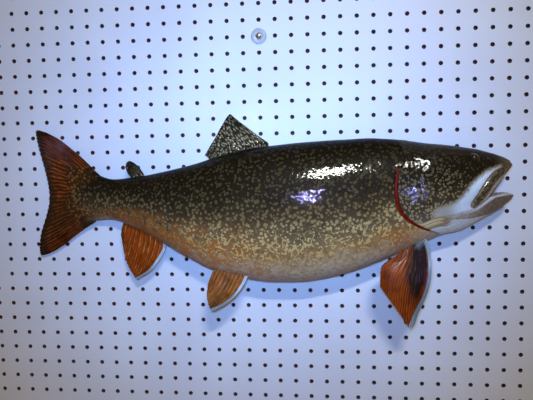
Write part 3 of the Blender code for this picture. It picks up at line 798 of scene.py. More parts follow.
def tiled(template: Mesh, name: str, frames: Array) -> Mesh:
    """One mesh of many copies of a small one.

    Args:
        template: the small mesh, in metres.
        name: the new mesh's name.
        frames: one 3 x 4 matrix for each copy, in mm.

    Returns:
        The new mesh, with the copies one after another.
    """
    corners = coordinates(template)
    moved = np.einsum("kij,vj->kvi", frames[:, :, :3], corners) + frames[:, None, :, 3]
    sizes = np.array([len(p.vertices) for p in template.polygons])
    loops = np.concatenate([list(p.vertices) for p in template.polygons])
    count = len(frames)
    shift = (np.arange(count) * len(corners))[:, None]
    mesh = bpy.data.meshes.new(name)
    mesh.vertices.add(count * len(corners))
    mesh.vertices.foreach_set("co", (moved * MM).ravel())
    mesh.loops.add(count * len(loops))
    mesh.loops.foreach_set("vertex_index", (loops[None, :] + shift).ravel())
    starts = np.concatenate([[0], np.cumsum(np.tile(sizes, count))[:-1]])
    mesh.polygons.add(count * len(sizes))
    mesh.polygons.foreach_set("loop_start", starts)
    mesh.update(calc_edges=True)
    mesh.validate()
    return mesh


def mark(mesh: Mesh) -> None:
    """Stores where each vertex lies on the fish, for the markings.

    "lie" holds x in metres and the girth share; "face" holds masks of the pale cheek, the lower
    jaw's band, the rims of lip and snout and the golden folds; "tone" holds masks of the head, the
    throat, the orange flush and the red line of the gill cover.

    Args:
        mesh: the skin or scales.
    """
    points = coordinates(mesh)
    x, z = points[:, 0], points[:, 2]
    share = FORM.girth_share(points)
    store(mesh, "lie", x * MM, share)

    gill, at = about(GILL_LINE, 48, x, z)
    head = fade(gill, -1.0, 1.0)
    folds, _ = about(GILL_FOLDS, 24, x, z)
    ridge = np.abs(np.sin(np.pi * folds / CARVING.fold_pitch)) ** 0.6 * (folds < 0)
    fold_area = fade(folds, 1.5, -1.0) * fade(folds, -17, -9) * fade(x, 198, 206) * fade(x, 270, 236)
    lip, _ = about(JAW_LIP, 24, x, z)
    snout, _ = about(MOUTH_TOP, 40, x, z)
    rims = bell(lip, 1.7) * fade(x, 288, 296) + bell(snout, 3.0) * fade(z, 40, 48)
    cheek, band = inside(CHEEK_PATCH, x, z, 15.0), inside(JAW_BAND, x, z, 3.0)
    store(mesh, "face", cheek, band, rims, fold_area * (0.5 + 0.5 * ridge))

    jaw_line, _ = about(JAW_LINE, 40, x, z)
    throat = head * np.where(jaw_line < 0, 1, 0) * fade(z, 25, 12)
    throat = np.maximum(throat, head * fade(share, 0.17, 0.1) * fade(x, 262, 240))
    rear = fade(x, 60, -100) * fade(x, -285, -205) * fade(share, 0.54, 0.2)
    fin_root = bell(np.hypot((x - 180) / 26, (z + 45) / 17), 1.0) * (1 - head)
    edge = bell(gill - 0.3, 1.2) * fade(at, 0.26, 0.34) * fade(at, 0.95, 0.88)
    store(mesh, "tone", head, throat, np.maximum(rear, fin_root), edge)


# ---- the skin
@dataclass(frozen=True)
class Skin:
    """The one unbroken skin over trunk, tail stem, head and lower jaw."""

    right_points: int = 124
    left_points: int = 70
    body_step: float = 2.5
    head_step: float = 1.15
    head_from: float = 168.0
    mouth: tuple[float, float] = (262.0, 366.0)
    mouth_points: int = 44
    mouth_wall: float = 4.6
    gill_depth: float = 7.5
    lip_rounds: int = 5

    def stations(self) -> Array:
        """The sections' x, closer together on the head and at the tail's end.

        Returns:
            The values of x in rising order.
        """
        step = Profile([
            (-346, 1.2), (-320, 1.9), (-280, self.body_step), (140, self.body_step),
            (self.head_from, self.head_step), (335, self.head_step), (348, 0.7), (354, 0.35),
        ])
        x = [FORM.tail_end]
        while x[-1] < FORM.snout_end - 0.4:
            x.append(x[-1] + float(step(x[-1])))
        return np.array(x[:-1] + [FORM.snout_end])

    def rings(self) -> Array:
        """The skin's points, one ring for each station.

        Returns:
            Points of shape (stations, points round, 3).
        """
        left = np.linspace(0, np.pi, self.left_points, endpoint=False)
        right = np.linspace(np.pi, 2 * np.pi, self.right_points, endpoint=False)
        x, angle = np.meshgrid(self.stations(), np.concatenate([left, right]), indexing="ij")
        plain = FORM.surface(x.ravel(), angle.ravel())
        return skin_points(plain)[0].reshape(x.shape + (3,))

    def cavity(self) -> BMesh:
        """The hollow of the mouth, an egg inside the cheeks and jaws.

        Returns:
            The closed shape that is cut away.
        """
        low = Profile([(262, 0), (275, -11), (295, -13), (315, -5), (335, 8), (350, 15.5), (366, 17)])
        high = Profile([(262, 9), (275, 24), (295, 36), (315, 46), (335, 55), (350, 58), (366, 58)])
        turn = np.linspace(0, 2 * np.pi, self.mouth_points, endpoint=False)
        rings = []
        for x in np.linspace(*self.mouth, 54):
            middle, reach = (low(x) + high(x)) / 2, (high(x) - low(x)) / 2
            width = float(FORM.breadth(min(x, 350), middle)) - self.mouth_wall
            width = max(width, 1.5) * float(np.sqrt(np.clip((x - 260) / 30, 0.02, 1)))
            y = float(FORM.middle(x)) + width * np.sign(np.cos(turn)) * np.abs(np.cos(turn)) ** 0.8
            rings.append(columns(x, y, middle + reach * np.sin(turn)))
        return closed_loft(np.array(rings))

    def gape(self) -> BMesh:
        """The wedge between the open jaws."""
        outline = np.vstack([resampled(MOUTH_TOP, 46), resampled(MOUTH_FLOOR, 30)])
        return slab(outline, FACE - 200, FACE + 60)

    def gill_pocket(self, side: Side) -> BMesh:
        """The slit behind a gill cover."""
        return gill_blade(side, -0.4, 1.0, -self.gill_depth, 3.5)

    def socket(self, side: Side) -> BMesh:
        """The hollow that an eye sits in.

        Args:
            side: the side of the head.

        Returns:
            The closed shape that is cut away.
        """
        eye = EYES[side]
        bm = bmesh.new()
        bmesh.ops.create_uvsphere(bm, u_segments=48, v_segments=28, radius=eye.radius + 0.1)
        bmesh.ops.translate(bm, verts=bm.verts, vec=eye.centre)
        return bm

    def soften(self, bm: BMesh) -> None:
        """Rounds the lips and the rims of the cuts.

        Args:
            bm: the skin after its cuts.
        """
        bmesh.ops.triangulate(bm, faces=[f for f in bm.faces if len(f.verts) > 4])
        rim = {
            v for e in bm.edges if len(e.link_faces) == 2
            and e.link_faces[0].material_index != e.link_faces[1].material_index
            for v in e.verts
        }
        near = rim | {e.other_vert(v) for v in rim for e in v.link_edges}
        for _ in range(self.lip_rounds):
            bmesh.ops.smooth_vert(
                bm, verts=list(near), factor=0.5, use_axis_x=True, use_axis_y=True, use_axis_z=True
            )

    def build(self, shop: Shop, looks: Sequence[Material]) -> None:
        """Models the skin.

        Args:
            shop: where the piece is made.
            looks: the materials of the skin, the mouth's lining and the gill slit.
        """
        skin = shop.loose("trout_skin", closed_loft(self.rings()))
        for material in looks:
            skin.data.materials.append(material)
        cuts = [(self.gape(), 1), (self.cavity(), 1)]
        cuts += [(self.gill_pocket(side), 2) for side in Side]
        cuts += [(self.socket(side), 1) for side in Side]
        tools = []
        for number, (bm, index) in enumerate(cuts):
            for face in bm.faces:
                face.material_index = index
            tool = shop.loose(f"cutter_{number}", bm)
            for material in looks:
                tool.data.materials.append(material)
            modifier = skin.modifiers.new(tool.name, "BOOLEAN")
            modifier.object = tool
            modifier.operation = "DIFFERENCE"
            modifier.solver = "EXACT"
            tools.append(tool)
        mesh = settled(skin)
        for tool in tools:
            bpy.data.objects.remove(tool)
        bm = bmesh.new()
        bm.from_mesh(mesh)
        bmesh.ops.remove_doubles(bm, verts=bm.verts, dist=0.01 * MM)
        self.soften(bm)
        bm.to_mesh(mesh)
        bm.free()
        mark(mesh)
        shop.finish(skin, None, "trunk", ["trunk", "tail_stem", "head", "lower_jaw"], sharp=70.0)


def gill_blade(side: Side, start: float, stretch: float, depth: float, top: float) -> BMesh:
    """A curved blade that stands in the skin behind a gill cover.

    Args:
        side: which side of the fish.
        start: where it begins behind the slit's front edge, in mm.
        stretch: its width as a share of the slit's.
        depth: the height of its inner edge over the body's surface, in mm.
        top: the height of its outer edge over the body's surface, in mm.

    Returns:
        A closed bmesh.
    """
    share = np.linspace(0, 1, 46)
    line = along(GILL_SLOT, share)
    run = unit(np.gradient(line, axis=0))
    behind = columns(run[:, 1], -run[:, 0])
    behind *= np.sign(-behind[:, :1] + 1e-9)
    swell = 3.3 * (0.35 + 0.65 * np.sin(np.pi * share) ** 0.8) * stretch
    corners = []
    section = ((0, depth), (0, depth / 2), (0, top), (1, top), (1, depth / 2), (1, depth))
    for across, height in section:
        spot = line + behind * (start + across * (swell - start))[:, None]
        on = FORM.on_side(spot[:, 0], spot[:, 1], side)
        corners.append(on + FORM.normals(on) * height)
    return closed_loft(np.stack(corners, axis=1))


# ---- the head's separate pieces
@dataclass(frozen=True)
class HeadPieces:
    """Gill edges, upper jaw plates, eyes, teeth and tongue."""

    maxilla_proud: float = 1.9
    maxilla_sunk: float = -2.0
    tooth_height: float = 2.3
    tooth_radius: float = 0.55
    tooth_sunk: float = 0.8
    tongue_pitch: float = 2.6
    tongue_start: float = 276.0
    tongue_length: float = 51.0

    def gill_edge(self, shop: Shop, side: Side, look: Material) -> None:
        """The red edge of the gills, seen in the slit behind the gill cover.

        Args:
            shop: makes and reports the pieces.
            side: the side of the head.
            look: its finish.
        """
        bm = gill_blade(side, 0.1, 0.8, -6.5, -1.0)
        bmesh.ops.subdivide_edges(bm, edges=bm.edges, cuts=1, use_grid_fill=True)
        for vert in bm.verts:
            vert.co.x += 0.35 * math.sin(vert.co.z / 1.3)
        name = side.node("gill_edge")
        made = shop.loose(f"{name}_skin", bm)
        shop.finish(made, look, name, [name])

    def maxilla(self, shop: Shop, side: Side, look: Material) -> None:
        """The side plate of the upper jaw, crowned and tucked in at its edges.

        Args:
            shop: makes and reports the pieces.
            side: the side of the head.
            look: its finish.
        """
        down, across = np.meshgrid(np.linspace(0, 1, 66), np.linspace(0, 1, 23), indexing="ij")
        shape = down.shape + (3,)
        down, across = down.ravel(), across.ravel()
        w = across[:, None]
        spot = along(MAXILLA_REAR, down) * (1 - w) + along(MAXILLA_FRONT, down) * w
        crown = (1 - np.abs(2 * across - 1) ** 3.2) ** 0.6 * (np.sin(np.pi * down) ** 0.35)
        strip = -0.55 * bell(across - 0.7, 0.05) + 0.25 * bell(across - 0.84, 0.07)
        on = FORM.on_side(spot[:, 0], spot[:, 1], side)
        normal = FORM.normals(on)
        low = self.maxilla_sunk
        front_side = on + normal * (low + crown * (self.maxilla_proud - low) + strip * crown)[:, None]
        back_side = on + normal * (low - 1.2 * crown)[:, None]
        name = side.node("maxilla")
        sheet = closed_sheet(front_side.reshape(shape), back_side.reshape(shape))
        made = shop.loose(f"{name}_skin", sheet)
        places = coordinates(made.data)
        middle = (resampled(MAXILLA_REAR, 30) + resampled(MAXILLA_FRONT, 30)) / 2
        gap, share = line_frame(middle, places[:, 0], places[:, 2])
        store(made.data, "plate", gap * MM, share)
        shop.finish(made, look, name, [name])

    def eye(self, shop: Shop, side: Side, look: Material) -> None:
        """A glass eye with a slightly bulged front.

        Args:
            shop: makes and reports the pieces.
            side: the side of the head.
            look: its finish.
        """
        eye = EYES[side]
        bm = bmesh.new()
        bmesh.ops.create_uvsphere(bm, u_segments=64, v_segments=48, radius=eye.radius)
        for vert in bm.verts:
            if vert.co.z > 0:
                vert.co.z += 0.35 * math.exp(-((math.hypot(vert.co.x, vert.co.y) / 4.6) ** 2))
        out = Vector(eye.axis())
        turn = Vector((0, 0, 1)).rotation_difference(out).to_matrix()
        bmesh.ops.transform(bm, matrix=turn.to_4x4(), verts=bm.verts)
        bmesh.ops.translate(bm, verts=bm.verts, vec=eye.centre)
        made = shop.loose(side.node("glass_eye"), bm)
        local = coordinates(made.data) - eye.centre
        ahead = unit(np.array([1.0, 0, 0]) - out[0] * np.array(out))
        up = np.cross(np.array(out), ahead) * side.value
        store(made.data, "gaze", local @ ahead * MM, local @ up * MM)
        shop.finish(made, look, side.node("eye"), [side.node("eye")])

    def teeth(self, shop: Shop, look: Material) -> None:
        """Small curved cones along both jaws and down the tongue.

        Args:
            shop: makes and reports the pieces.
            look: its finish.
        """
        bm = bmesh.new()
        bmesh.ops.create_cone(
            bm, cap_ends=True, segments=7, radius1=self.tooth_radius, radius2=0.06, depth=1.0
        )
        bmesh.ops.subdivide_edges(
            bm, edges=[e for e in bm.edges if abs(e.verts[0].co.z - e.verts[1].co.z) > 0.5], cuts=3
        )
        for vert in bm.verts:
            vert.co.x += 0.5 * (vert.co.z + 0.5) ** 2
        template = shop.loose("tooth", bm)
        frames = []
        rows = ((MOUTH_TOP[:-2], -1, 3.4, 15), (MOUTH_FLOOR[1:], 1, 3.2, 13))
        for line, up, inset, count in rows:
            for x, z in resampled(line, count + 2)[1:-1]:
                for side in Side:
                    reach = max(float(FORM.breadth(x, z)) - inset, 1.0)
                    y = float(FORM.middle(x)) + side.value * reach
                    height = self.tooth_height * (0.8 + 0.3 * math.sin(7.3 * x + side.value))
                    axis = unit(np.array([-0.25, -side.value * 0.35, up], float))
                    bend = unit(np.cross(axis, [0, side.value, 0]))
                    base = np.array([x, y, z]) + axis * (height / 2 - self.tooth_sunk)
                    frames.append(columns(bend, np.cross(axis, bend), axis * height, base))
        lean, bend = np.array([-0.35, 0, 1.0]) / 1.06, np.array([-1.0, 0, -0.35]) / 1.06
        for pair in range(5):
            for shift in (-2.5, 2.5):
                x = 299 + self.tongue_pitch * pair
                z = 1.2 + 0.4 * self.tongue_pitch * pair + self.tooth_height / 2
                base = np.array([x, float(FORM.middle(x)) + shift, z])
                frames.append(columns(bend, (0, 1, 0), lean * self.tooth_height, base))
        made = shop.add("teeth", tiled(template.data, "teeth", np.array(frames)))
        bpy.data.objects.remove(template)
        shop.finish(made, look, "head")

    def tongue(self, shop: Shop, look: Material) -> None:
        """A narrow tongue that rises towards its tip, with a groove along it.

        Args:
            shop: makes and reports the pieces.
            look: its finish.
        """
        turn = np.linspace(0, 2 * np.pi, 28, endpoint=False)
        rings = []
        for share in np.linspace(0, 1, 34):
            x = self.tongue_start + self.tongue_length * share
            plump = math.sqrt(max(1 - (2 * share - 1) ** 4, 0.004))
            y = 8.5 * plump * (1.1 - 0.35 * share) * np.cos(turn)
            groove = 1.1 * bell(y, 1.6) * (np.sin(turn) > 0)
            z = -8.5 + 14.5 * share ** 1.2 + 4.6 * plump * np.sin(turn) - groove
            rings.append(columns(x, FORM.middle(x) + y, z))
        made = shop.loose("tongue_skin", closed_loft(np.array(rings)))
        shop.finish(made, look, "tongue", ["tongue"])

    def build(self, shop: Shop, looks: Looks) -> None:
        """Makes every separate piece of the head.

        Args:
            shop: makes and reports the pieces.
            looks: every finish.
        """
        for side in Side:
            self.gill_edge(shop, side, looks[Look.GILL])
            self.maxilla(shop, side, looks[Look.MAXILLA])
            self.eye(shop, side, looks[Look.EYE])
        self.teeth(shop, looks[Look.TOOTH])
        self.tongue(shop, looks[Look.TONGUE])


# ---- the scales
@dataclass(frozen=True)
class ScaleCoat:
    """Small overlapping scales over trunk and tail stem, each a thin closed plate."""

    pitch: Profile = Profile([(-346, 1.9), (-300, 2.3), (-200, 2.7), (60, 3.1), (150, 2.9), (186, 2.2)])
    aspect: float = 0.94
    overlap: float = 1.5
    row_gap: float = 0.86
    rise: float = 0.09
    spread: float = 0.035
    seed: int = 7
    start: float = -338.0
    end: float = 196.0
    girth: float = 420.0
    patch: float = 0.003

    def template(self, shop: Shop) -> Object:
        """One scale of unit pitch: a rounded plate, thin at its edge, with its root sunk.

        Args:
            shop: makes and reports the pieces.

        Returns:
            The scale, not yet a piece.
        """
        bm = bmesh.new()
        bmesh.ops.create_circle(bm, cap_ends=True, cap_tris=True, segments=8, radius=0.62)
        top = list(bm.faces)
        bmesh.ops.duplicate(bm, geom=bm.verts[:] + bm.edges[:] + top)
        low = [f for f in bm.faces if f not in top]
        for faces, height in ((low, -0.3), (top, 0.045)):
            middle = {v for f in faces for v in f.verts if v.co.length < 0.01}
            bmesh.ops.translate(bm, verts=list(middle), vec=(0, 0, height))
        bmesh.ops.remove_doubles(bm, verts=bm.verts, dist=0.001)
        bmesh.ops.scale(bm, verts=bm.verts, vec=(self.overlap, 1.0, 1.0))
        return shop.loose("scale_template", outwards(bm))

    def places(self) -> tuple[Array, Array, Array]:
        """Centres on the plain body, with their pitch and their distance round it.

        Returns:
            The centres, the pitches and the distances.
        """
        spots, pitches, girths = [], [], []
        x, row = self.start, 0
        fine = np.linspace(0, 2 * np.pi, 721)
        while x < self.end:
            pitch = float(self.pitch(x))
            ring = FORM.surface(np.full(len(fine), x), fine)
            length = np.concatenate([[0], np.cumsum(np.linalg.norm(np.diff(ring, axis=0), axis=1))])
            count = int(length[-1] / (pitch * self.aspect))
            reach = (np.arange(count) + 0.5 * (row % 2)) * length[-1] / count
            angle = np.interp(reach, length, fine)
            spots.append(FORM.surface(np.full(count, x), angle))
            pitches.append(np.full(count, pitch))
            girths.append(reach)
            x += pitch * self.row_gap
            row += 1
        return np.vstack(spots), np.concatenate(pitches), np.concatenate(girths)

    def kept(self, spots: Array) -> Array:
        """A mask of the scales that lie on skin: not on the head, the tail or the flat back.

        Args:
            spots: the scales' centres.

        Returns:
            True for each scale that is laid.
        """
        x, y, z = spots.T
        gill, _ = about(GILL_LINE, 48, x, z)
        slot, _ = about(GILL_SLOT, 40, x, z)
        stem, _ = about(STEM_ARC, 40, x, z)
        return (gill < -2.0) & (np.abs(slot + 2.5) > 4.6) & (stem > 1.0) & (y < BACK_PLANE - 0.5)

    def build(self, shop: Shop, look: Material) -> None:
        """Lays the scales and joins them into a few pieces by place.

        Args:
            shop: makes and reports the pieces.
            look: its finish.
        """
        template = self.template(shop)
        spots, pitch, girth = self.places()
        keep = self.kept(spots)
        spots, pitch, girth = spots[keep], pitch[keep], girth[keep]
        rng = np.random.default_rng(self.seed)
        spots[:, 0] += rng.uniform(-0.12, 0.12, len(spots)) * pitch
        placed, normal = skin_points(spots, 0.02)
        back = np.tile([-1.0, 0, 0], (len(spots), 1))
        back = unit(back - normal * np.sum(back * normal, axis=1, keepdims=True))
        tilt = self.rise + rng.uniform(-self.spread, self.spread, len(spots))
        roll = rng.uniform(-self.spread, self.spread, len(spots))
        lean = unit(back + normal * tilt[:, None])
        across = unit(np.cross(normal, lean) + normal * roll[:, None])
        frames = columns(lean, across, np.cross(lean, across)) * pitch[:, None, None]
        origin = placed + normal * (0.02 * pitch)[:, None]
        frames = np.concatenate([frames, origin[:, :, None]], axis=2)
        right, ahead = spots[:, 1] < FORM.middle(spots[:, 0]), spots[:, 0] > -20
        regions = {"right_front": right & ahead, "right_rear": right & ~ahead, "left": ~right}
        for region, chosen in regions.items():
            mesh = tiled(template.data, f"scales_{region}", frames[chosen])
            self.unwrap(mesh, template.data, spots[chosen], girth[chosen])
            mark(mesh)
            shop.finish(shop.add(mesh.name, mesh), look, "trunk", sharp=60.0)
        bpy.data.objects.remove(template)

    def unwrap(self, mesh: Mesh, template: Mesh, spots: Array, girth: Array) -> None:
        """Gives each scale a small patch at its root's place on an unrolled body.

        Args:
            mesh: the scales.
            template: one scale.
            spots: their centres.
            girth: their distances round the body.
        """
        length = FORM.snout_end - FORM.tail_end
        root = columns((spots[:, 0] - FORM.tail_end) / length, girth / self.girth)
        local = coordinates(template)[:, :2]
        local = local / np.abs(local).max() * self.patch / 2
        places = (np.clip(root, 0.004, 0.996)[:, None, :] + local[None, :, :]).reshape(-1, 2)
        corners = np.empty(len(mesh.loops), int)
        mesh.loops.foreach_get("vertex_index", corners)
        layer = mesh.uv_layers.new(name="OFBake")
        layer.uv.foreach_set("vector", places[corners].astype(np.float32).ravel())


# ---- fins
@dataclass(frozen=True)
class FinShape:
    """A fin: its four edge curves, rays, thickness and how its paint lies.

    Two numbers in an edge are x, z; three are x, z and the distance from the board.  The leading
    and trailing edges run from an end of the base to an end of the margin, through their points.
    """

    node: str
    base: Knots
    lead: Knots
    margin: Knots
    trail: Knots
    rays: int
    rows: int
    thickness: float = 1.6
    columns: int = 0
    lead_white: float = 0.0
    white_margin: int = 1
    shade: Point = (0.0, 0.0, 0.0)
    shade_end: float = 2.0
    tip_dark: float = 0.0
    scaled_root: bool = False
    pale_root: float = 0.0
    ripple: float = 0.5
    folded: bool = False

    def middle(self, x: Array, z: Array) -> Array:
        """y of the fin's middle where its edges give only x and z.

        Args:
            x: places along the fish.
            z: their heights.

        Returns:
            One y for each place.
        """
        if self.folded:
            return np.minimum(FORM.middle(x) + FORM.breadth(x, z, 1.9), BACK_PLANE - 1.0)
        return FORM.middle(x)

    def spot(self, u: Array, v: Array) -> Array:
        """Points on the fin's middle surface, u across the rays and v along them.

        Args:
            u: shares across the rays, 0 to 1.
            v: shares from base to margin.

        Returns:
            One row (x, y, z) for each pair.
        """
        base, margin = along(self.base, u), along(self.margin, u)
        lead = along([self.base[0], *self.lead, self.margin[0]], v)
        trail = along([self.base[-1], *self.trail, self.margin[-1]], v)
        u, v = u[:, None], v[:, None]
        b, m = np.asarray(self.base, float), np.asarray(self.margin, float)
        flat = (
            (1 - v) * base + v * margin + (1 - u) * lead + u * trail
            - (1 - u) * (1 - v) * b[0] - u * (1 - v) * b[-1]
            - (1 - u) * v * m[0] - u * v * m[-1]
        )
        x, z = flat[:, 0], flat[:, 1]
        y = FACE - flat[:, 2] if flat.shape[1] == 3 else self.middle(x, z)
        return columns(x, y, z)

    def wave(self, u: Array, v: Array) -> Array:
        """Height of the rays above the web between them, from 0 to 1; each ray forks once.

        Args:
            u: shares across the rays, 0 to 1.
            v: shares from base to margin.

        Returns:
            One height for each pair.
        """
        single = np.cos(2 * np.pi * self.rays * u)
        forked = np.cos(4 * np.pi * self.rays * u)
        mixed = single + (forked - single) * fade(v, 0.35, 0.7)
        return fade(mixed, -0.6, 0.9)

    def build(self, shop: Shop, look: Material) -> None:
        """Models the fin as a closed sheet with raised rays on both faces.

        Args:
            shop: makes and reports the pieces.
            look: its finish.
        """
        shape = (self.rows + 1, (self.columns or 12 * self.rays) + 1, 3)
        v, u = np.meshgrid(*(np.linspace(0, 1, count) for count in shape[:2]), indexing="ij")
        u, v = u.ravel(), v.ravel()
        scallop = 0.005 * v ** 6 * np.cos(4 * np.pi * self.rays * u) * (1 if self.rays else 0)
        middle = self.spot(u, v + scallop)
        step = 0.004
        across = self.spot(np.minimum(u + step, 1), v) - self.spot(np.maximum(u - step, 0), v)
        up = self.spot(u, np.minimum(v + step, 1)) - self.spot(u, np.maximum(v - step, 0))
        normal = unit(np.cross(across, up))
        normal *= -np.sign(np.mean(normal[:, 1]))
        if not self.folded:
            bend = 2 * self.ripple * v ** 1.5 * np.sin(2 * np.pi * (1.6 * u + 0.2))
            middle = middle + normal * bend[:, None]
        border = np.minimum(np.minimum(u, 1 - u) * 14, np.minimum(v * 30, (1 - v) * 22))
        round_edge = np.sqrt(np.clip(border, 0, 1))
        wave = self.wave(u, v)
        half = self.thickness * (0.5 - 0.26 * v) * round_edge
        relief = (0.1 + 0.16 * (1 - v)) * self.thickness * (wave - 0.5) * round_edge
        swell = normal * (half + relief)[:, None]
        sheet = closed_sheet((middle + swell).reshape(shape), (middle - swell).reshape(shape))
        made = shop.loose(f"{self.node}_skin", sheet)
        self.paint(made.data, middle, u, v)
        shop.finish(made, look, self.node, [self.node], sharp=75.0)

    def paint(self, mesh: Mesh, middle: Array, u: Array, v: Array) -> None:
        """Stores where each vertex lies on the fin, and the masks of its paint.

        Args:
            mesh: the fin.
            middle: points on its middle surface.
            u: shares across the rays, 0 to 1.
            v: shares from base to margin.
        """
        places = coordinates(mesh)
        x, z = places[:, 0], places[:, 2]
        nearest = nearest_rows(places, middle)
        u, v = u[nearest], v[nearest]
        store(mesh, "web", u, v)
        edge = [self.base[0], *self.lead, *self.margin[:self.white_margin]]
        gap = np.abs(line_frame(resampled(edge, 80)[:, :2], x, z)[0])
        centre, width, strength = self.shade
        shade = strength * bell(u - centre, max(width, 0.01))
        shade = shade * fade(v, self.shade_end, self.shade_end - 0.6)
        lead = fade(gap, self.lead_white + 0.9, self.lead_white - 0.9) if self.lead_white else 0 * u
        lead = lead * fade(v, 0.0, 0.08)
        lead = np.maximum(lead, self.pale_root * fade(v, 0.3, 0.02) * fade(u, 0.85, 0.3))
        tip = self.tip_dark * fade(v, 0.74, 1.0)
        stem, _ = about(STEM_ARC, 40, x, z)
        wedge = x - 0.75 * np.abs(z - 8)
        root = fade(wedge, -364, -344) * fade(stem, -52, -30) * self.scaled_root
        store(mesh, "paint", shade, lead, tip, root)
        if self.scaled_root:
            mark(mesh)


def nearest_rows(places: Array, table: Array) -> Array:
    """The index of the nearest row of a table for each place.

    Args:
        places: rows of x, y, z.
        table: the rows to choose from.

    Returns:
        One index for each place.
    """
    tree = KDTree(len(table))
    for index, row in enumerate(table):
        tree.insert(row, index)
    tree.balance()
    return np.array([tree.find(place)[1] for place in places])


FINS = [
    FinShape(
        "dorsal_fin",
        base=[(-9, 86), (-40, 82), (-70, 74), (-94, 64)],
        lead=[(-9, 98.5), (-21, 108), (-36, 119.5), (-52, 132)],
        margin=[(-63, 141), (-67, 144), (-73, 139), (-81, 126), (-90, 110), (-101, 94), (-109, 82)],
        trail=[(-97, 71), (-102, 77)],
        rays=11, rows=60, ripple=0.8,
    ),
    FinShape(
        "adipose_fin",
        base=[(-204, 41.5), (-229, 38.5)],
        lead=[(-208, 50), (-214, 60), (-221, 68)],
        margin=[(-229, 73.5), (-235, 75), (-240, 71), (-241.5, 64)],
        trail=[(-232, 47), (-238, 55)],
        rays=0, thickness=4.4, columns=30, rows=40, ripple=0.0,
    ),
    FinShape(
        "anal_fin",
        base=[(-176, -50), (-205, -36), (-230, -24), (-246, -17)],
        lead=[(-178, -66), (-186, -80), (-197, -95), (-209, -106.5)],
        margin=[(-224, -115.5), (-229, -118), (-235, -111), (-245, -91), (-251, -68), (-255, -45)],
        trail=[(-250, -27), (-253, -36)],
        rays=10, rows=60, lead_white=4.4, white_margin=2, shade=(1.0, 0.16, 0.5),
    ),
    FinShape(
        "caudal_fin",
        base=[(-268, 36.5), (-290, 36), (-306, 27), (-310, 12), (-306, -6), (-296, -16)],
        lead=[(-279, 46), (-290, 55), (-312, 76.5), (-333, 94.5), (-354, 111)],
        margin=[
            (-377, 123.5), (-393, 127), (-394.5, 114), (-391, 92), (-384, 62), (-379, 37), (-377.5, 12),
            (-384, -14), (-395, -44), (-399.5, -68), (-397.5, -80.5), (-382, -77),
        ],
        trail=[(-299, -24), (-318, -35), (-337, -48), (-360, -65)],
        rays=19, thickness=2.4, rows=70, shade=(0.66, 0.32, 0.55), tip_dark=0.75, scaled_root=True,
        ripple=1.0,
    ),
    FinShape(
        "pelvic_fin_right",
        base=[(-41, -93, 60), (-60, -95, 60), (-78, -92, 58), (-92, -86, 55)],
        lead=[(-43, -104, 64), (-52, -121, 69), (-65, -136, 72)],
        margin=[(-80, -147, 74), (-96, -154, 75), (-101, -147, 74), (-105, -132, 70), (-105.5, -116, 64)],
        trail=[(-96, -94, 57), (-101, -104, 60)],
        rays=9, rows=54, lead_white=4.0, white_margin=2, shade=(0.45, 0.3, 0.45), ripple=0.9,
    ),
    FinShape(
        "pectoral_fin_right",
        base=[(221, -37, 58), (213, -44, 59), (202, -50, 59), (190, -56, 58)],
        lead=[(226, -54, 65), (229, -72, 70), (229.5, -90, 74), (227, -108, 78)],
        margin=[
            (220, -129, 81), (209, -152, 84), (199, -174, 86), (183, -154, 86), (168, -132, 85),
            (155, -113, 83),
        ],
        trail=[(181, -69, 65), (168, -76, 71), (157, -86, 77)],
        rays=13, rows=76, lead_white=5.0, white_margin=3,
        shade=(0.36, 0.32, 1.0), shade_end=1.05, ripple=1.2, pale_root=0.7,
    ),
    FinShape(
        "pelvic_fin_left",
        base=[(-41, -88), (-50, -84), (-58, -79)],
        lead=[(-58, -93), (-76, -92)],
        margin=[(-94, -85), (-103, -79), (-102, -73), (-94, -68)],
        trail=[(-70, -76), (-82, -72)],
        rays=9, columns=80, rows=50, lead_white=3.0, shade=(0.5, 0.3, 0.4), folded=True,
    ),
    FinShape(
        "pectoral_fin_left",
        base=[(232, -36), (222, -40), (212, -43), (204, -44)],
        lead=[(212, -52), (186, -66), (156, -77)],
        margin=[(128, -84), (114, -83), (111, -75), (116, -66), (130, -58)],
        trail=[(184, -47), (158, -52)],
        rays=12, columns=110, rows=70, lead_white=4.0, shade=(0.4, 0.3, 0.9), folded=True,
    ),
]


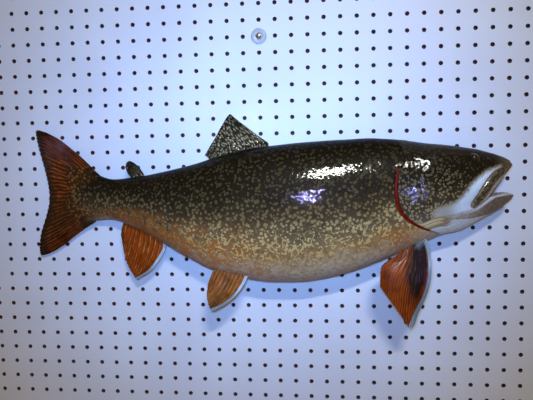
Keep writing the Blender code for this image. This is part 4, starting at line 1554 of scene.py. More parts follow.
# ---- material nodes
class Graph:
    """A node tree with short calls for the nodes that the finishes use."""

    def __init__(self, tree: bpy.types.NodeTree) -> None:
        """Wraps a tree."""
        self.tree = tree

    def put(self, kind: str, values: dict[str | int, object], **settings: object) -> bpy.types.Node:
        """Adds a node.

        Args:
            kind: the node's type, without "ShaderNode".
            values: what goes into its inputs: a number, a colour, a vector or another's output.
            settings: its other properties.

        Returns:
            The node.
        """
        node = self.tree.nodes.new(f"ShaderNode{kind}")
        for name, value in settings.items():
            setattr(node, name, value)
        for name, value in values.items():
            self.feed(node.inputs[name], value)
        return node

    def feed(self, socket: Socket, value: object) -> None:
        """Gives a socket a number, a colour, a vector or another's output.

        Args:
            socket: the input.
            value: what it gets.
        """
        if isinstance(value, Socket):
            self.tree.links.new(value, socket)
        elif socket.type == "RGBA":
            socket.default_value = (*value, 1)
        else:
            socket.default_value = value

    def math(self, operation: str, *values: object) -> Socket:
        """One arithmetic step."""
        return self.put("Math", dict(enumerate(values)), operation=operation).outputs[0]

    def plus(self, a: object, b: object) -> Socket:
        """a + b."""
        return self.math("ADD", a, b)

    def minus(self, a: object, b: object) -> Socket:
        """a - b."""
        return self.math("SUBTRACT", a, b)

    def times(self, a: object, b: object) -> Socket:
        """a * b."""
        return self.math("MULTIPLY", a, b)

    def line(self, a: object, slope: object, start: object) -> Socket:
        """a * slope + start."""
        return self.math("MULTIPLY_ADD", a, slope, start)

    def mix(self, share: object, a: object, b: object, blend: str = "MIX") -> Socket:
        """A colour between a and b."""
        node = self.put("Mix", {0: share, 6: a, 7: b}, data_type="RGBA", blend_type=blend)
        return node.outputs[2]

    def tinted(self, share: object, colour: Socket, tint: Colour) -> Socket:
        """A colour, multiplied by a tint where share is 1."""
        return self.mix(share, colour, self.mix(1, colour, tint, "MULTIPLY"))

    def blend(self, share: object, a: object, b: object) -> Socket:
        """A number between a and b."""
        return self.put("Mix", {0: share, 2: a, 3: b}, data_type="FLOAT").outputs[0]

    def noise(self, vector: object, scale: float, detail: float = 2.0, rough: float = 0.5) -> Socket:
        """Soft noise between 0 and 1."""
        values = {"Vector": vector, "Scale": scale, "Detail": detail, "Roughness": rough}
        return self.put("TexNoise", values).outputs["Fac"]

    def wander(self, vector: object, scale: float, detail: float, span: float) -> Socket:
        """Soft noise between -span / 2 and span / 2."""
        return self.line(self.noise(vector, scale, detail), span, -span / 2)

    def patches(self, vector: object, scale: float, detail: float, start: float, end: float) -> Socket:
        """Soft noise cut into patches: 0 where it is below start, 1 where it is past end."""
        return self.step(self.noise(vector, scale, detail), start, end)

    def step(self, value: object, start: object, end: object) -> Socket:
        """0 before start, 1 past end, smooth between.

        Args:
            value: what is compared.
            start: where it begins.
            end: where it ends.

        Returns:
            The mask.
        """
        values = {"Value": value, "From Min": start, "From Max": end}
        node = self.put("MapRange", values, interpolation_type="SMOOTHSTEP")
        return node.outputs["Result"]

    def ramp(self, share: object, stops: Ramp) -> Socket:
        """A colour ramp through the stops.

        Args:
            share: the place on the ramp.
            stops: places and their colours.

        Returns:
            The colour.
        """
        node = self.put("ValToRGB", {"Fac": share})
        line = node.color_ramp.elements
        while len(line) < len(stops):
            line.new(0.5)
        for element, (place, colour) in zip(line, stops):
            element.position = place
            element.color = (*colour, 1)
        return node.outputs["Color"]

    def place(self, scale: Point = (1, 1, 1)) -> Socket:
        """The object's own coordinates, in metres, stretched by a scale.

        Args:
            scale: the stretch along each axis.

        Returns:
            The position.
        """
        source = self.put("TexCoord", {}).outputs["Object"]
        if scale == (1, 1, 1):
            return source
        return self.put("Mapping", {"Vector": source, "Scale": scale}).outputs["Vector"]

    def attribute(self, name: str) -> tuple[Socket, Socket, Socket, Socket]:
        """The four numbers of a vertex attribute; those past its own mean nothing.

        Args:
            name: the attribute's name.

        Returns:
            One output for each number.
        """
        node = self.put("Attribute", {}, attribute_name=name)
        parts = self.put("SeparateXYZ", {"Vector": node.outputs["Vector"]}).outputs
        return parts[0], parts[1], parts[2], node.outputs["Alpha"]

    def jiggled(self, vector: object, scale: float, reach: float) -> Socket:
        """A position moved about by noise, by up to reach in metres.

        Args:
            vector: the position.
            scale: how fine the noise is.
            reach: how far it moves.

        Returns:
            The moved position.
        """
        values = {"Vector": vector, "Scale": scale, "Detail": 2}
        noise = self.put("TexNoise", values).outputs["Color"]
        centred = self.put("VectorMath", {0: noise, 1: (0.5,) * 3}, operation="SUBTRACT").outputs[0]
        scaled = self.put("VectorMath", {0: centred, "Scale": 2 * reach}, operation="SCALE")
        return self.put("VectorMath", {0: vector, 1: scaled.outputs[0]}).outputs[0]

    def cells(self, vector: object, scale: float) -> Socket:
        """Distance to the nearest of many scattered points."""
        values = {"Vector": vector, "Scale": scale, "Randomness": 1}
        return self.put("TexVoronoi", values).outputs["Distance"]

    def pair(self, x: Socket, y: Socket) -> Socket:
        """Two numbers as a vector."""
        return self.put("CombineXYZ", {"X": x, "Y": y}).outputs[0]


def new_material(name: str) -> tuple[Material, Graph, bpy.types.Node]:
    """A material, with its graph and its one Principled shader.

    Args:
        name: its name.

    Returns:
        The three.
    """
    material = bpy.data.materials.new(name)
    material.use_nodes = True
    return material, Graph(material.node_tree), material.node_tree.nodes["Principled BSDF"]


class Group:
    """A shared node group with named inputs and outputs."""

    def __init__(self, name: str, inputs: dict[str, float | Colour], *outputs: str) -> None:
        """Opens the group.

        Args:
            name: the group's name.
            inputs: each input's value, a number or a colour.
            outputs: the outputs' names; "Color" is a colour, any other a number.
        """
        self.tree = bpy.data.node_groups.new(name, "ShaderNodeTree")
        new_socket = self.tree.interface.new_socket
        for key, value in inputs.items():
            if isinstance(value, tuple):
                socket = new_socket(key, in_out="INPUT", socket_type="NodeSocketColor")
                socket.default_value = (*value, 1)
            else:
                new_socket(key, in_out="INPUT", socket_type="NodeSocketFloat").default_value = value
        for key in outputs:
            kind = "Color" if key == "Color" else "Float"
            new_socket(key, in_out="OUTPUT", socket_type=f"NodeSocket{kind}")
        self.inlet = self.tree.nodes.new("NodeGroupInput").outputs
        self.outlet = self.tree.nodes.new("NodeGroupOutput").inputs
        self.graph = Graph(self.tree)

    def give(self, name: str, value: Socket) -> None:
        """Connects one output."""
        self.tree.links.new(value, self.outlet[name])

    def into(self, graph: Graph, values: dict[str, object]) -> bpy.types.bpy_prop_collection:
        """Places the group in a material and returns its outputs.

        Args:
            graph: the material's graph.
            values: what its inputs get, by name.

        Returns:
            The outputs.
        """
        node = graph.tree.nodes.new("ShaderNodeGroup")
        node.node_tree = self.tree
        for name, value in values.items():
            graph.feed(node.inputs[name], value)
        return node.outputs


def varnish_group() -> Group:
    """The uneven film of varnish: broad ripples with finer grain over them.

    Returns:
        The group, which puts out a height.
    """
    group = Group("varnish_film", {"Ripple": 130, "Grain": 700}, "Height")
    g = group.graph
    place = g.place()
    ripple = g.noise(place, group.inlet["Ripple"], 2)
    grain = g.noise(place, group.inlet["Grain"], 1.5)
    group.give("Height", g.line(grain, 0.3, ripple))
    return group


def speckle_group() -> Group:
    """Irregular pale marks: rounded spots, commas and short worm tracks.

    Returns:
        The group, which puts out a mask.
    """
    group = Group("pale_marks", {"Size": 1, "Cover": 0.34, "Worms": 0}, "Mask")
    g = group.graph
    sized = {0: g.place(), "Scale": group.inlet["Size"]}
    place = g.put("VectorMath", sized, operation="SCALE").outputs[0]
    bent = g.jiggled(g.jiggled(place, 210, 0.0018), 520, 0.0008)
    near = g.cells(bent, 185)
    vary = g.line(g.noise(place, 70, 1), 0.34, group.inlet["Cover"])
    spots = g.step(g.minus(g.minus(vary, 0.17), near), -0.06, 0.06)
    level = g.minus(g.noise(g.jiggled(place, 220, 0.0012), 112, 0), 0.5)
    worm = g.step(g.math("ABSOLUTE", level), 0.075, 0.045)
    worm = g.times(worm, g.patches(place, 150, 1, 0.42, 0.5))
    worm = g.times(worm, group.inlet["Worms"])
    group.give("Mask", g.math("MAXIMUM", spots, worm))
    return group


@dataclass(frozen=True)
class TroutColours:
    """The paint on skin and scales, from back to belly."""

    ground: Ramp = (
        (0.03, (0.42, 0.31, 0.235)), (0.11, (0.46, 0.32, 0.18)), (0.22, (0.3, 0.17, 0.071)),
        (0.35, (0.14, 0.092, 0.044)), (0.5, (0.043, 0.03, 0.0145)), (0.65, (0.013, 0.0095, 0.005)),
        (0.8, (0.0055, 0.004, 0.002)), (0.96, (0.0038, 0.0028, 0.0013)),
    )
    rear_ground: Ramp = (
        (0.03, (0.3, 0.21, 0.15)), (0.12, (0.18, 0.08, 0.03)), (0.24, (0.085, 0.048, 0.02)),
        (0.36, (0.043, 0.029, 0.013)), (0.5, (0.025, 0.018, 0.01)), (0.65, (0.007, 0.006, 0.004)),
        (0.95, (0.002, 0.0015, 0.001)),
    )
    marks: Ramp = (
        (0.08, (0.49, 0.39, 0.26)), (0.2, (0.5, 0.31, 0.09)), (0.35, (0.46, 0.33, 0.13)),
        (0.5, (0.155, 0.095, 0.034)), (0.65, (0.064, 0.044, 0.016)), (0.8, (0.034, 0.024, 0.0085)),
        (0.95, (0.022, 0.016, 0.007)),
    )
    rear_marks: Ramp = (
        (0.08, (0.26, 0.17, 0.11)), (0.2, (0.24, 0.13, 0.05)), (0.35, (0.17, 0.1, 0.04)),
        (0.5, (0.13, 0.088, 0.038)), (0.65, (0.054, 0.041, 0.018)), (0.8, (0.028, 0.021, 0.009)),
        (0.95, (0.012, 0.009, 0.005)),
    )
    head_ground: Ramp = (
        (0.1, (0.15, 0.12, 0.085)), (0.38, (0.05, 0.038, 0.022)), (0.58, (0.017, 0.013, 0.007)),
        (0.75, (0.008, 0.006, 0.0035)), (0.97, (0.0065, 0.005, 0.003)),
    )
    head_marks: Ramp = (
        (0.2, (0.3, 0.23, 0.13)), (0.5, (0.18, 0.125, 0.055)), (0.72, (0.085, 0.063, 0.03)),
        (0.85, (0.032, 0.024, 0.011)),
    )
    snout: Colour = (0.1, 0.074, 0.043)
    cheek: Colour = (0.66, 0.77, 0.85)
    cheek_low: Colour = (0.53, 0.59, 0.67)
    cheek_rear: Colour = (0.33, 0.31, 0.27)
    cheek_rim: Colour = (0.4, 0.34, 0.24)
    jaw_front: Colour = (0.165, 0.13, 0.088)
    jaw_rear: Colour = (0.33, 0.28, 0.235)
    lip: Colour = (0.48, 0.46, 0.52)
    throat: Colour = (0.58, 0.6, 0.61)
    snout_rim: Colour = (0.17, 0.085, 0.045)
    folds: Colour = (0.5, 0.38, 0.2)
    fold_seam: Colour = (0.25, 0.18, 0.1)
    flush: Colour = (0.34, 0.095, 0.012)
    tail: Colour = (0.034, 0.012, 0.004)
    tail_marks: Colour = (0.17, 0.062, 0.014)
    gill: Colour = (0.11, 0.003, 0.001)
    gill_end: Colour = (0.11, 0.12, 0.2)


def markings_group(colours: TroutColours, speckle: Group) -> Group:
    """The trout's markings, the same on skin and scales.

    Args:
        colours: the trout's colours.
        speckle: the group that makes the marks.

    Returns:
        The group, which puts out a colour.
    """
    group = Group("trout_markings", {}, "Color")
    g = group.graph
    x, share, _, _ = g.attribute("lie")
    cheek, band, lip, folds = g.attribute("face")
    head, throat, flush, gill = g.attribute("tone")
    place = g.place()

    uneven = g.wander(place, 28, 3, 0.16)
    level = g.plus(share, uneven)
    rear = g.step(x, -0.07, -0.22)
    ground = g.mix(rear, g.ramp(level, colours.ground), g.ramp(level, colours.rear_ground))
    mottle = g.noise(place, 170, 3, 0.6)
    ground = g.tinted(g.step(mottle, 0.35, 0.7), ground, (0.62, 0.6, 0.58))
    flushed = g.times(flush, g.patches(place, 60, 2, 0.25, 0.6))
    ground = g.mix(g.times(flushed, 0.75), ground, colours.flush)

    low = g.step(share, 0.5, 0.25)
    cover = g.blend(low, 0.4, 0.27)
    cover = g.times(cover, g.step(share, 0.035, 0.16))
    worms = g.times(low, g.step(share, 0.1, 0.26))
    body_marks = speckle.into(g, {"Cover": cover, "Worms": worms})["Mask"]
    head_cover = g.times(g.blend(g.step(x, 0.3, 0.24), 0.26, 0.42), g.step(x, 0.345, 0.32))
    head_marks = speckle.into(g, {"Size": 1.3, "Cover": head_cover})["Mask"]
    marks = g.mix(rear, g.ramp(level, colours.marks), g.ramp(level, colours.rear_marks))
    painted = g.mix(body_marks, ground, marks)
    wedge = g.math("ABSOLUTE", g.minus(share, 0.5))
    reach = g.line(wedge, -0.08, g.line(g.noise(place, 75, 3), 0.03, x))
    tail = g.mix(body_marks, colours.tail, colours.tail_marks)
    painted = g.mix(g.step(reach, -0.3, -0.336), painted, tail)

    face = g.ramp(level, colours.head_ground)
    face = g.tinted(g.step(mottle, 0.4, 0.75), face, (0.6, 0.58, 0.55))
    face = g.mix(g.step(x, 0.318, 0.347), face, colours.snout)
    face = g.mix(head_marks, face, g.ramp(level, colours.head_marks))
    ragged = g.wander(place, 260, 2, 0.5)
    rough_cheek = g.plus(cheek, g.times(ragged, 0.9))
    throat_skin = g.mix(g.step(mottle, 0.3, 0.8), colours.throat, (0.47, 0.46, 0.46))
    face = g.mix(throat, face, throat_skin)
    face = g.mix(g.times(g.step(rough_cheek, 0.05, 0.5), 0.6), face, colours.cheek_rim)
    bare = g.mix(g.step(share, 0.42, 0.6), colours.cheek_low, colours.cheek)
    bare = g.mix(g.step(x, 0.274, 0.246), bare, colours.cheek_rear)
    face = g.mix(g.step(rough_cheek, 0.3, 1), face, bare)
    over_rim = g.times(g.step(rough_cheek, 0.85, 0.5), g.step(rough_cheek, 0.05, 0.25))
    over_rim = g.times(g.times(head_marks, over_rim), 0.8)
    face = g.mix(over_rim, face, g.ramp(level, colours.head_marks))
    jaw = g.mix(g.step(x, 0.275, 0.325), colours.jaw_rear, colours.jaw_front)
    jaw = g.tinted(g.patches(place, 240, 2, 0.4, 0.65), jaw, (0.68, 0.64, 0.6))
    face = g.mix(g.step(band, 0.3, 0.8), face, jaw)
    rims = g.mix(g.step(share, 0.55, 0.62), colours.lip, colours.snout_rim)
    face = g.mix(g.times(lip, 0.85), face, rims)
    fold_paint = g.mix(g.step(folds, 0.6, 0.9), colours.fold_seam, colours.folds)
    face = g.mix(g.step(folds, 0, 0.5), face, fold_paint)

    whole = g.mix(head, painted, face)
    red = g.mix(g.step(x, 0.222, 0.229), colours.gill, colours.gill_end)
    whole = g.mix(g.times(gill, 0.95), whole, red)
    group.give("Color", whole)
    return group


def ray_group() -> Group:
    """A fin's rays and web, with speckles and the masks of its paint.

    Returns:
        The group, which puts out a colour and a height.
    """
    paints = dict.fromkeys(("Web", "Ray", "Shade", "White", "Speck"), (0.5, 0.5, 0.5))
    group = Group("fin_rays", {"Rays": 10, "Thin": 1.2, "Speck Cover": 0, **paints}, "Color", "Height")
    g, inlet = group.graph, group.inlet
    u, v, _, _ = g.attribute("web")
    shade, lead, tip, _ = g.attribute("paint")
    place = g.place()
    drift = g.wander(place, 90, 2, 0.03)
    turn = g.times(g.plus(u, drift), g.times(inlet["Rays"], 2 * math.pi))
    single = g.math("COSINE", turn)
    forked = g.math("COSINE", g.times(turn, 2))
    wave = g.blend(g.step(v, 0.35, 0.7), single, forked)
    across = g.times(g.plus(u, drift), g.times(inlet["Rays"], 2.1))
    up = g.times(v, 8)
    streak = g.noise(g.pair(across, g.times(up, 0.4)), 1.3, 3, 0.6)
    ridge = g.line(wave, 0.6, -0.4)
    thin = inlet["Thin"]
    ray = g.step(g.line(streak, 3.6, ridge), thin, g.plus(thin, 1))
    colour = g.mix(ray, inlet["Web"], inlet["Ray"])
    patchy = g.patches(place, 75, 3, 0.38, 0.7)
    colour = g.tinted(g.times(patchy, 0.75), colour, (0.5, 0.42, 0.36))
    rows = {"Vector": g.pair(across, up), "Scale": 1, "Randomness": 0.7}
    near = g.put("TexVoronoi", rows, voronoi_dimensions="2D").outputs["Distance"]
    spot = g.step(g.minus(inlet["Speck Cover"], near), -0.05, 0.05)
    colour = g.mix(spot, colour, inlet["Speck"])
    torn = g.wander(place, 160, 3, 0.8)
    for mask in (shade, tip):
        ragged = g.step(g.plus(mask, g.times(torn, mask)), 0.25, 0.75)
        colour = g.mix(g.times(ragged, 0.94), colour, inlet["Shade"])
    white = g.step(g.line(torn, 0.5, lead), 0.3, 0.8)
    colour = g.mix(white, colour, inlet["White"])
    group.give("Color", colour)
    group.give("Height", g.line(streak, 0.6, wave))
    return group


def wood_group() -> Group:
    """Long grain with darker late wood and fine pores, along z.

    Returns:
        The group, which puts out a colour and a height.
    """
    values = {"Early": (0.6, 0.42, 0.24), "Late": (0.4, 0.24, 0.11)}
    group = Group("wood_grain", values, "Color", "Height")
    g, inlet = group.graph, group.inlet
    long = g.place((1, 1, 0.06))
    waves = {"Vector": long, "Scale": 55, "Distortion": 5, "Detail": 3, "Detail Scale": 1.5}
    bands = g.put("TexWave", waves).outputs["Fac"]
    pores = g.noise(g.place((1, 1, 0.03)), 900, 2)
    colour = g.mix(g.step(bands, 0.35, 0.95), inlet["Early"], inlet["Late"])
    fine = g.times(g.step(pores, 0.45, 0.75), 0.35)
    group.give("Color", g.mix(fine, colour, inlet["Late"]))
    group.give("Height", g.line(pores, 0.5, bands))
    return group


# ---- finishes
@dataclass(frozen=True)
class Gloss:
    """The constants of one finish, set on its own shader."""

    rough: float
    coat: float = 0.0
    coat_rough: float = 0.04
    metal: float = 0.0
    bump: float = 0.0
    reach: float = 0.0004
    through: float = 0.0
    specular: float = 0.5
    sheltered: bool = False


@dataclass(frozen=True)
class FinPaint:
    """The colours of one fin."""

    web: Colour
    ray: Colour
    shade: Colour = (0.01, 0.009, 0.008)
    white: Colour = (0.47, 0.55, 0.62)
    speck: Colour = (0.24, 0.2, 0.12)
    speck_cover: float = 0.0
    thin: float = 1.2


VARNISHED = Gloss(
    rough=0.42, coat=0.75, coat_rough=0.05, bump=0.25, reach=0.0012, specular=0.06, sheltered=True
)
ORANGE = FinPaint(web=(0.29, 0.046, 0.004), ray=(0.6, 0.25, 0.06), thin=1.7)
FIN_PAINTS = {
    "dorsal_fin": FinPaint(
        web=(0.011, 0.009, 0.004), ray=(0.026, 0.023, 0.013), speck=(0.17, 0.145, 0.085),
        speck_cover=0.29, thin=1.1,
    ),
    "adipose_fin": FinPaint(
        web=(0.012, 0.01, 0.006), ray=(0.012, 0.01, 0.006), speck=(0.045, 0.037, 0.022), speck_cover=0.3
    ),
    "anal_fin": ORANGE,
    "caudal_fin": FinPaint(
        web=(0.075, 0.014, 0.003), ray=(0.34, 0.068, 0.009), thin=1.25, shade=(0.016, 0.007, 0.004)
    ),
    "pelvic_fin_right": FinPaint(web=(0.44, 0.15, 0.035), ray=(0.11, 0.035, 0.009), thin=1.5),
    "pelvic_fin_left": ORANGE,
    "pectoral_fin_right": FinPaint(
        web=(0.33, 0.056, 0.006), ray=(0.12, 0.024, 0.005), thin=1.5, white=(0.34, 0.42, 0.47)
    ),
    "pectoral_fin_left": ORANGE,
}


Coats = tuple[Socket, Socket | None, Socket | None]  # colour, height of the bumps, roughness


class Finishes:
    """Builds each material once, from the shared groups."""

    def __init__(self) -> None:
        """Builds the shared groups."""
        self.varnish = varnish_group()
        self.speckle = speckle_group()
        self.markings = markings_group(TroutColours(), self.speckle)
        self.rays = ray_group()
        self.wood = wood_group()

    def surface(self, name: str, gloss: Gloss, paint: Callable[[Graph], Coats]) -> Material:
        """A material with one Principled shader.

        Args:
            name: the material's name.
            gloss: its constants.
            paint: gives its colour, the height of its bumps and its roughness.

        Returns:
            The material.
        """
        material, g, shader = new_material(name)
        constants = {
            "Roughness": gloss.rough, "Coat Weight": gloss.coat, "Coat Roughness": gloss.coat_rough,
            "Metallic": gloss.metal, "Transmission Weight": gloss.through,
            "Specular IOR Level": gloss.specular,
        }
        for key, value in constants.items():
            g.feed(shader.inputs[key], value)
        colour, height, rough = paint(g)
        g.feed(shader.inputs["Base Color"], colour)
        if rough is not None:
            g.feed(shader.inputs["Roughness"], rough)
        if gloss.sheltered:
            share = g.attribute("lie")[1]
            shine = g.times(g.step(share, 0.12, 0.34), g.step(share, 0.985, 0.88))
            shine = g.line(shine, 0.93 * gloss.coat, 0.07 * gloss.coat)
            g.feed(shader.inputs["Coat Weight"], shine)
        if height is not None:
            values = {"Height": height, "Strength": gloss.bump, "Distance": gloss.reach}
            g.feed(shader.inputs["Normal"], g.put("Bump", values).outputs["Normal"])
        return material

    def film(self, g: Graph, ripple: float = 130.0, grain: float = 700.0) -> Socket:
        """The height of the varnish film."""
        return self.varnish.into(g, {"Ripple": ripple, "Grain": grain})["Height"]

    def trout(self, g: Graph) -> Coats:
        """Skin and scales.

        Args:
            g: the material's graph.

        Returns:
            Colour, height and roughness, None where plain.
        """
        head, ahead = g.attribute("tone")[0], g.attribute("lie")[0]
        rise = g.times(g.step(ahead, 0.18, 0.25), 17)
        swell = g.line(g.noise(g.place(), 110, 1), 3.6, rise)
        swell = g.times(swell, head)
        return self.markings.into(g, {})["Color"], g.plus(self.film(g), swell), None

    def skin(self, g: Graph) -> Coats:
        """The bare skin of the head, glossy on its sides and duller on its crown and throat.

        Args:
            g: the material's graph.

        Returns:
            Colour, height and roughness, None where plain.
        """
        colour, height, _ = self.trout(g)
        share = g.attribute("lie")[1]
        shine = g.times(g.step(share, 0.12, 0.3), g.step(share, 0.96, 0.84))
        return colour, height, g.blend(shine, 0.5, 0.13)

    def mouth(self, g: Graph) -> Coats:
        """The mouth's lining, in random patches of a darker and a paler colour."""
        pale = g.patches(g.place(), 120, 3, 0.35, 0.7)
        return g.mix(pale, (0.2, 0.13, 0.11), (0.34, 0.27, 0.25)), self.film(g, 260), None

    def slit(self, g: Graph) -> Coats:
        """The inside of the gill slit."""
        deep = g.patches(g.place(), 200, 2, 0.3, 0.7)
        return g.mix(deep, (0.03, 0.002, 0.002), (0.07, 0.004, 0.003)), None, None

    def gill(self, g: Graph) -> Coats:
        """Glossy red gill edges with fine filaments."""
        comb = g.noise(g.place((1, 1, 3)), 420, 2)
        return g.mix(g.step(comb, 0.35, 0.65), (0.13, 0.003, 0.001), (0.24, 0.005, 0.002)), comb, None

    def maxilla(self, g: Graph) -> Coats:
        """A dark mottled plate with a tan strip and a pale line along its front.

        Args:
            g: the material's graph.

        Returns:
            Colour, height and roughness, None where plain.
        """
        gap, share, _, _ = g.attribute("plate")
        place = g.place()
        mottle = g.patches(place, 260, 3, 0.42, 0.62)
        dark = g.mix(mottle, (0.022, 0.017, 0.01), (0.13, 0.1, 0.06))
        wander = g.line(g.noise(place, 180, 2), 0.0022, gap)
        colour = g.mix(g.step(wander, 0.0036, 0.0052), dark, (0.23, 0.165, 0.11))
        colour = g.mix(g.step(wander, 0.0062, 0.0074), colour, (0.42, 0.36, 0.34))
        low = g.step(share, 0.72, 0.95)
        colour = g.mix(g.times(low, 0.7), colour, (0.24, 0.18, 0.13))
        rim = g.step(gap, -0.0062, -0.0078)
        colour = g.mix(g.times(rim, 0.7), colour, (0.16, 0.1, 0.07))
        return colour, self.film(g, 240), None

    def eye(self, g: Graph) -> Coats:
        """A dark pupil set forward in a mottled orange-brown iris with a black rim.

        Args:
            g: the material's graph.

        Returns:
            Colour, height and roughness, None where plain.
        """
        ahead, up, _, _ = g.attribute("gaze")
        reach = {0: g.pair(g.minus(ahead, 0.0012), up)}
        radius = g.put("VectorMath", reach, operation="LENGTH").outputs["Value"]
        fleck = g.noise(g.place(), 900, 3)
        iris = g.mix(g.step(fleck, 0.35, 0.7), (0.018, 0.006, 0.002), (0.075, 0.02, 0.004))
        iris = g.mix(g.step(radius, 0.0036, 0.0029), iris, (0.11, 0.04, 0.008))
        iris = g.mix(g.step(radius, 0.0046, 0.0056), iris, (0.006, 0.004, 0.002))
        return g.mix(g.step(radius, 0.003, 0.0027), iris, (0.003, 0.003, 0.003)), None, None

    def flesh(self, dark: Colour, pale: Colour) -> Callable[[Graph], Coats]:
        """A mottled wet surface between two colours.

        Args:
            dark: one colour.
            pale: the other.

        Returns:
            What dresses a material.
        """
        return lambda g: (
            g.mix(g.patches(g.place(), 220, 3, 0.35, 0.7), dark, pale), self.film(g, 300), None
        )

    def fin(self, shape: FinShape) -> Material:
        """The finish of one fin.

        Args:
            shape: the fin.

        Returns:
            The material.
        """
        paint = FIN_PAINTS[shape.node]
        values = {
            "Rays": max(shape.rays, 4), "Thin": paint.thin, "Speck Cover": paint.speck_cover,
            "Web": paint.web, "Ray": paint.ray, "Shade": paint.shade, "White": paint.white,
            "Speck": paint.speck,
        }

        def dress(g: Graph) -> Coats:
            """The fin's rays and web, with skin at the tail's root.

            Args:
                g: the material's graph.

            Returns:
                Colour, height and roughness, None where plain.
            """
            outputs = self.rays.into(g, values)
            colour = outputs["Color"]
            if shape.scaled_root:
                root = g.attribute("paint")[3]
                ragged = g.wander(g.place(), 190, 3, 0.8)
                colour = g.mix(g.step(g.plus(root, ragged), 0.3, 0.7), colour, self.trout(g)[0])
            return colour, g.plus(outputs["Height"], self.film(g, 220, 800)), None

        gloss = Gloss(rough=0.15, coat=0.2, coat_rough=0.06, bump=1, reach=0.0008, specular=0.4)
        return self.surface(f"{shape.node}_paint", gloss, dress)

    def paint(self, g: Graph) -> Coats:
        """Cold white enamel rolled on the board, with faint wear and dust.

        Args:
            g: the material's graph.

        Returns:
            Colour, height and roughness, None where plain.
        """
        place = g.place()
        stipple = g.noise(place, 620, 3, 0.6)
        cloud = g.noise(place, 7, 3)
        colour = g.mix(g.step(cloud, 0.3, 0.75), (0.66, 0.68, 0.77), (0.71, 0.74, 0.83))
        specks = g.step(g.cells(place, 31), 0.03, 0.018)
        chosen = g.times(specks, g.patches(place, 19, 1, 0.58, 0.66))
        colour = g.mix(g.times(chosen, 0.55), colour, (0.42, 0.34, 0.27))
        rough = g.blend(g.step(cloud, 0.3, 0.7), 0.42, 0.55)
        return colour, stipple, rough

    def hardboard(self, g: Graph) -> Coats:
        """Brown pressed fibre.

        Args:
            g: the material's graph.

        Returns:
            Colour, height and roughness, None where plain.
        """
        fibre = g.noise(g.place((1, 3, 1)), 800, 4, 0.65)
        mesh = g.put("TexWave", {"Vector": g.place(), "Scale": 210}, bands_direction="DIAGONAL")
        colour = g.mix(g.step(fibre, 0.3, 0.7), (0.09, 0.028, 0.02), (0.19, 0.07, 0.045))
        return colour, g.plus(fibre, mesh.outputs["Fac"]), None

    def timber(self, early: Colour, late: Colour) -> Callable[[Graph], Coats]:
        """Planed wood between two colours.

        Args:
            early: the pale wood's colour.
            late: the dark wood's.

        Returns:
            What dresses a material.
        """

        def dress(g: Graph) -> Coats:
            """Planed wood."""
            outputs = self.wood.into(g, {"Early": early, "Late": late})
            return outputs["Color"], outputs["Height"], None

        return dress

    def steel(self, g: Graph) -> Coats:
        """Zinc-plated steel with fine scratches."""
        brushed = g.noise(g.place((1, 1, 8)), 900, 3)
        return g.mix(brushed, (0.42, 0.43, 0.44), (0.6, 0.6, 0.62)), brushed, g.blend(brushed, 0.24, 0.42)

    def washer(self, g: Graph) -> Coats:
        """Clear moulded plastic, slightly clouded."""
        cloud = g.noise(g.place(), 400, 2)
        return g.mix(cloud, (0.74, 0.8, 0.92), (0.86, 0.91, 0.98)), cloud, None

    def all(self) -> Looks:
        """Every material, by its look.

        Returns:
            The materials.
        """
        wet = Gloss(rough=0.3, coat=0.9, coat_rough=0.06, bump=0.3, reach=0.0006)
        wood = Gloss(rough=0.62, bump=0.25, reach=0.0004)
        plans = {
            Look.SKIN: (Gloss(rough=0.14, bump=0.25, reach=0.0012, specular=0.42), self.skin),
            Look.SCALE: (VARNISHED, self.trout),
            Look.MOUTH: (wet, self.mouth),
            Look.SLIT: (wet, self.slit),
            Look.GILL: (Gloss(rough=0.5, coat=0.12, bump=0.3, specular=0.08), self.gill),
            Look.MAXILLA: (wet, self.maxilla),
            Look.EYE: (Gloss(rough=0.25, coat=0.7, coat_rough=0.02, specular=0.2), self.eye),
            Look.TOOTH: (wet, self.flesh((0.52, 0.47, 0.36), (0.72, 0.68, 0.58))),
            Look.TONGUE: (wet, self.flesh((0.3, 0.17, 0.15), (0.46, 0.33, 0.3))),
            Look.PAINT: (Gloss(rough=0.5, bump=0.18, reach=0.0003), self.paint),
            Look.HARDBOARD: (Gloss(rough=0.75, bump=0.4, reach=0.0004), self.hardboard),
            Look.PINE: (wood, self.timber((0.62, 0.44, 0.25), (0.42, 0.24, 0.11))),
            Look.PLYWOOD: (wood, self.timber((0.58, 0.42, 0.25), (0.44, 0.29, 0.15))),
            Look.STEEL: (Gloss(rough=0.3, metal=1, bump=0.1, reach=0.0002), self.steel),
            Look.WASHER: (Gloss(rough=0.18, bump=0.1, reach=0.0003, through=0.55), self.washer),
        }
        return {look: self.surface(look.value, gloss, paint) for look, (gloss, paint) in plans.items()}


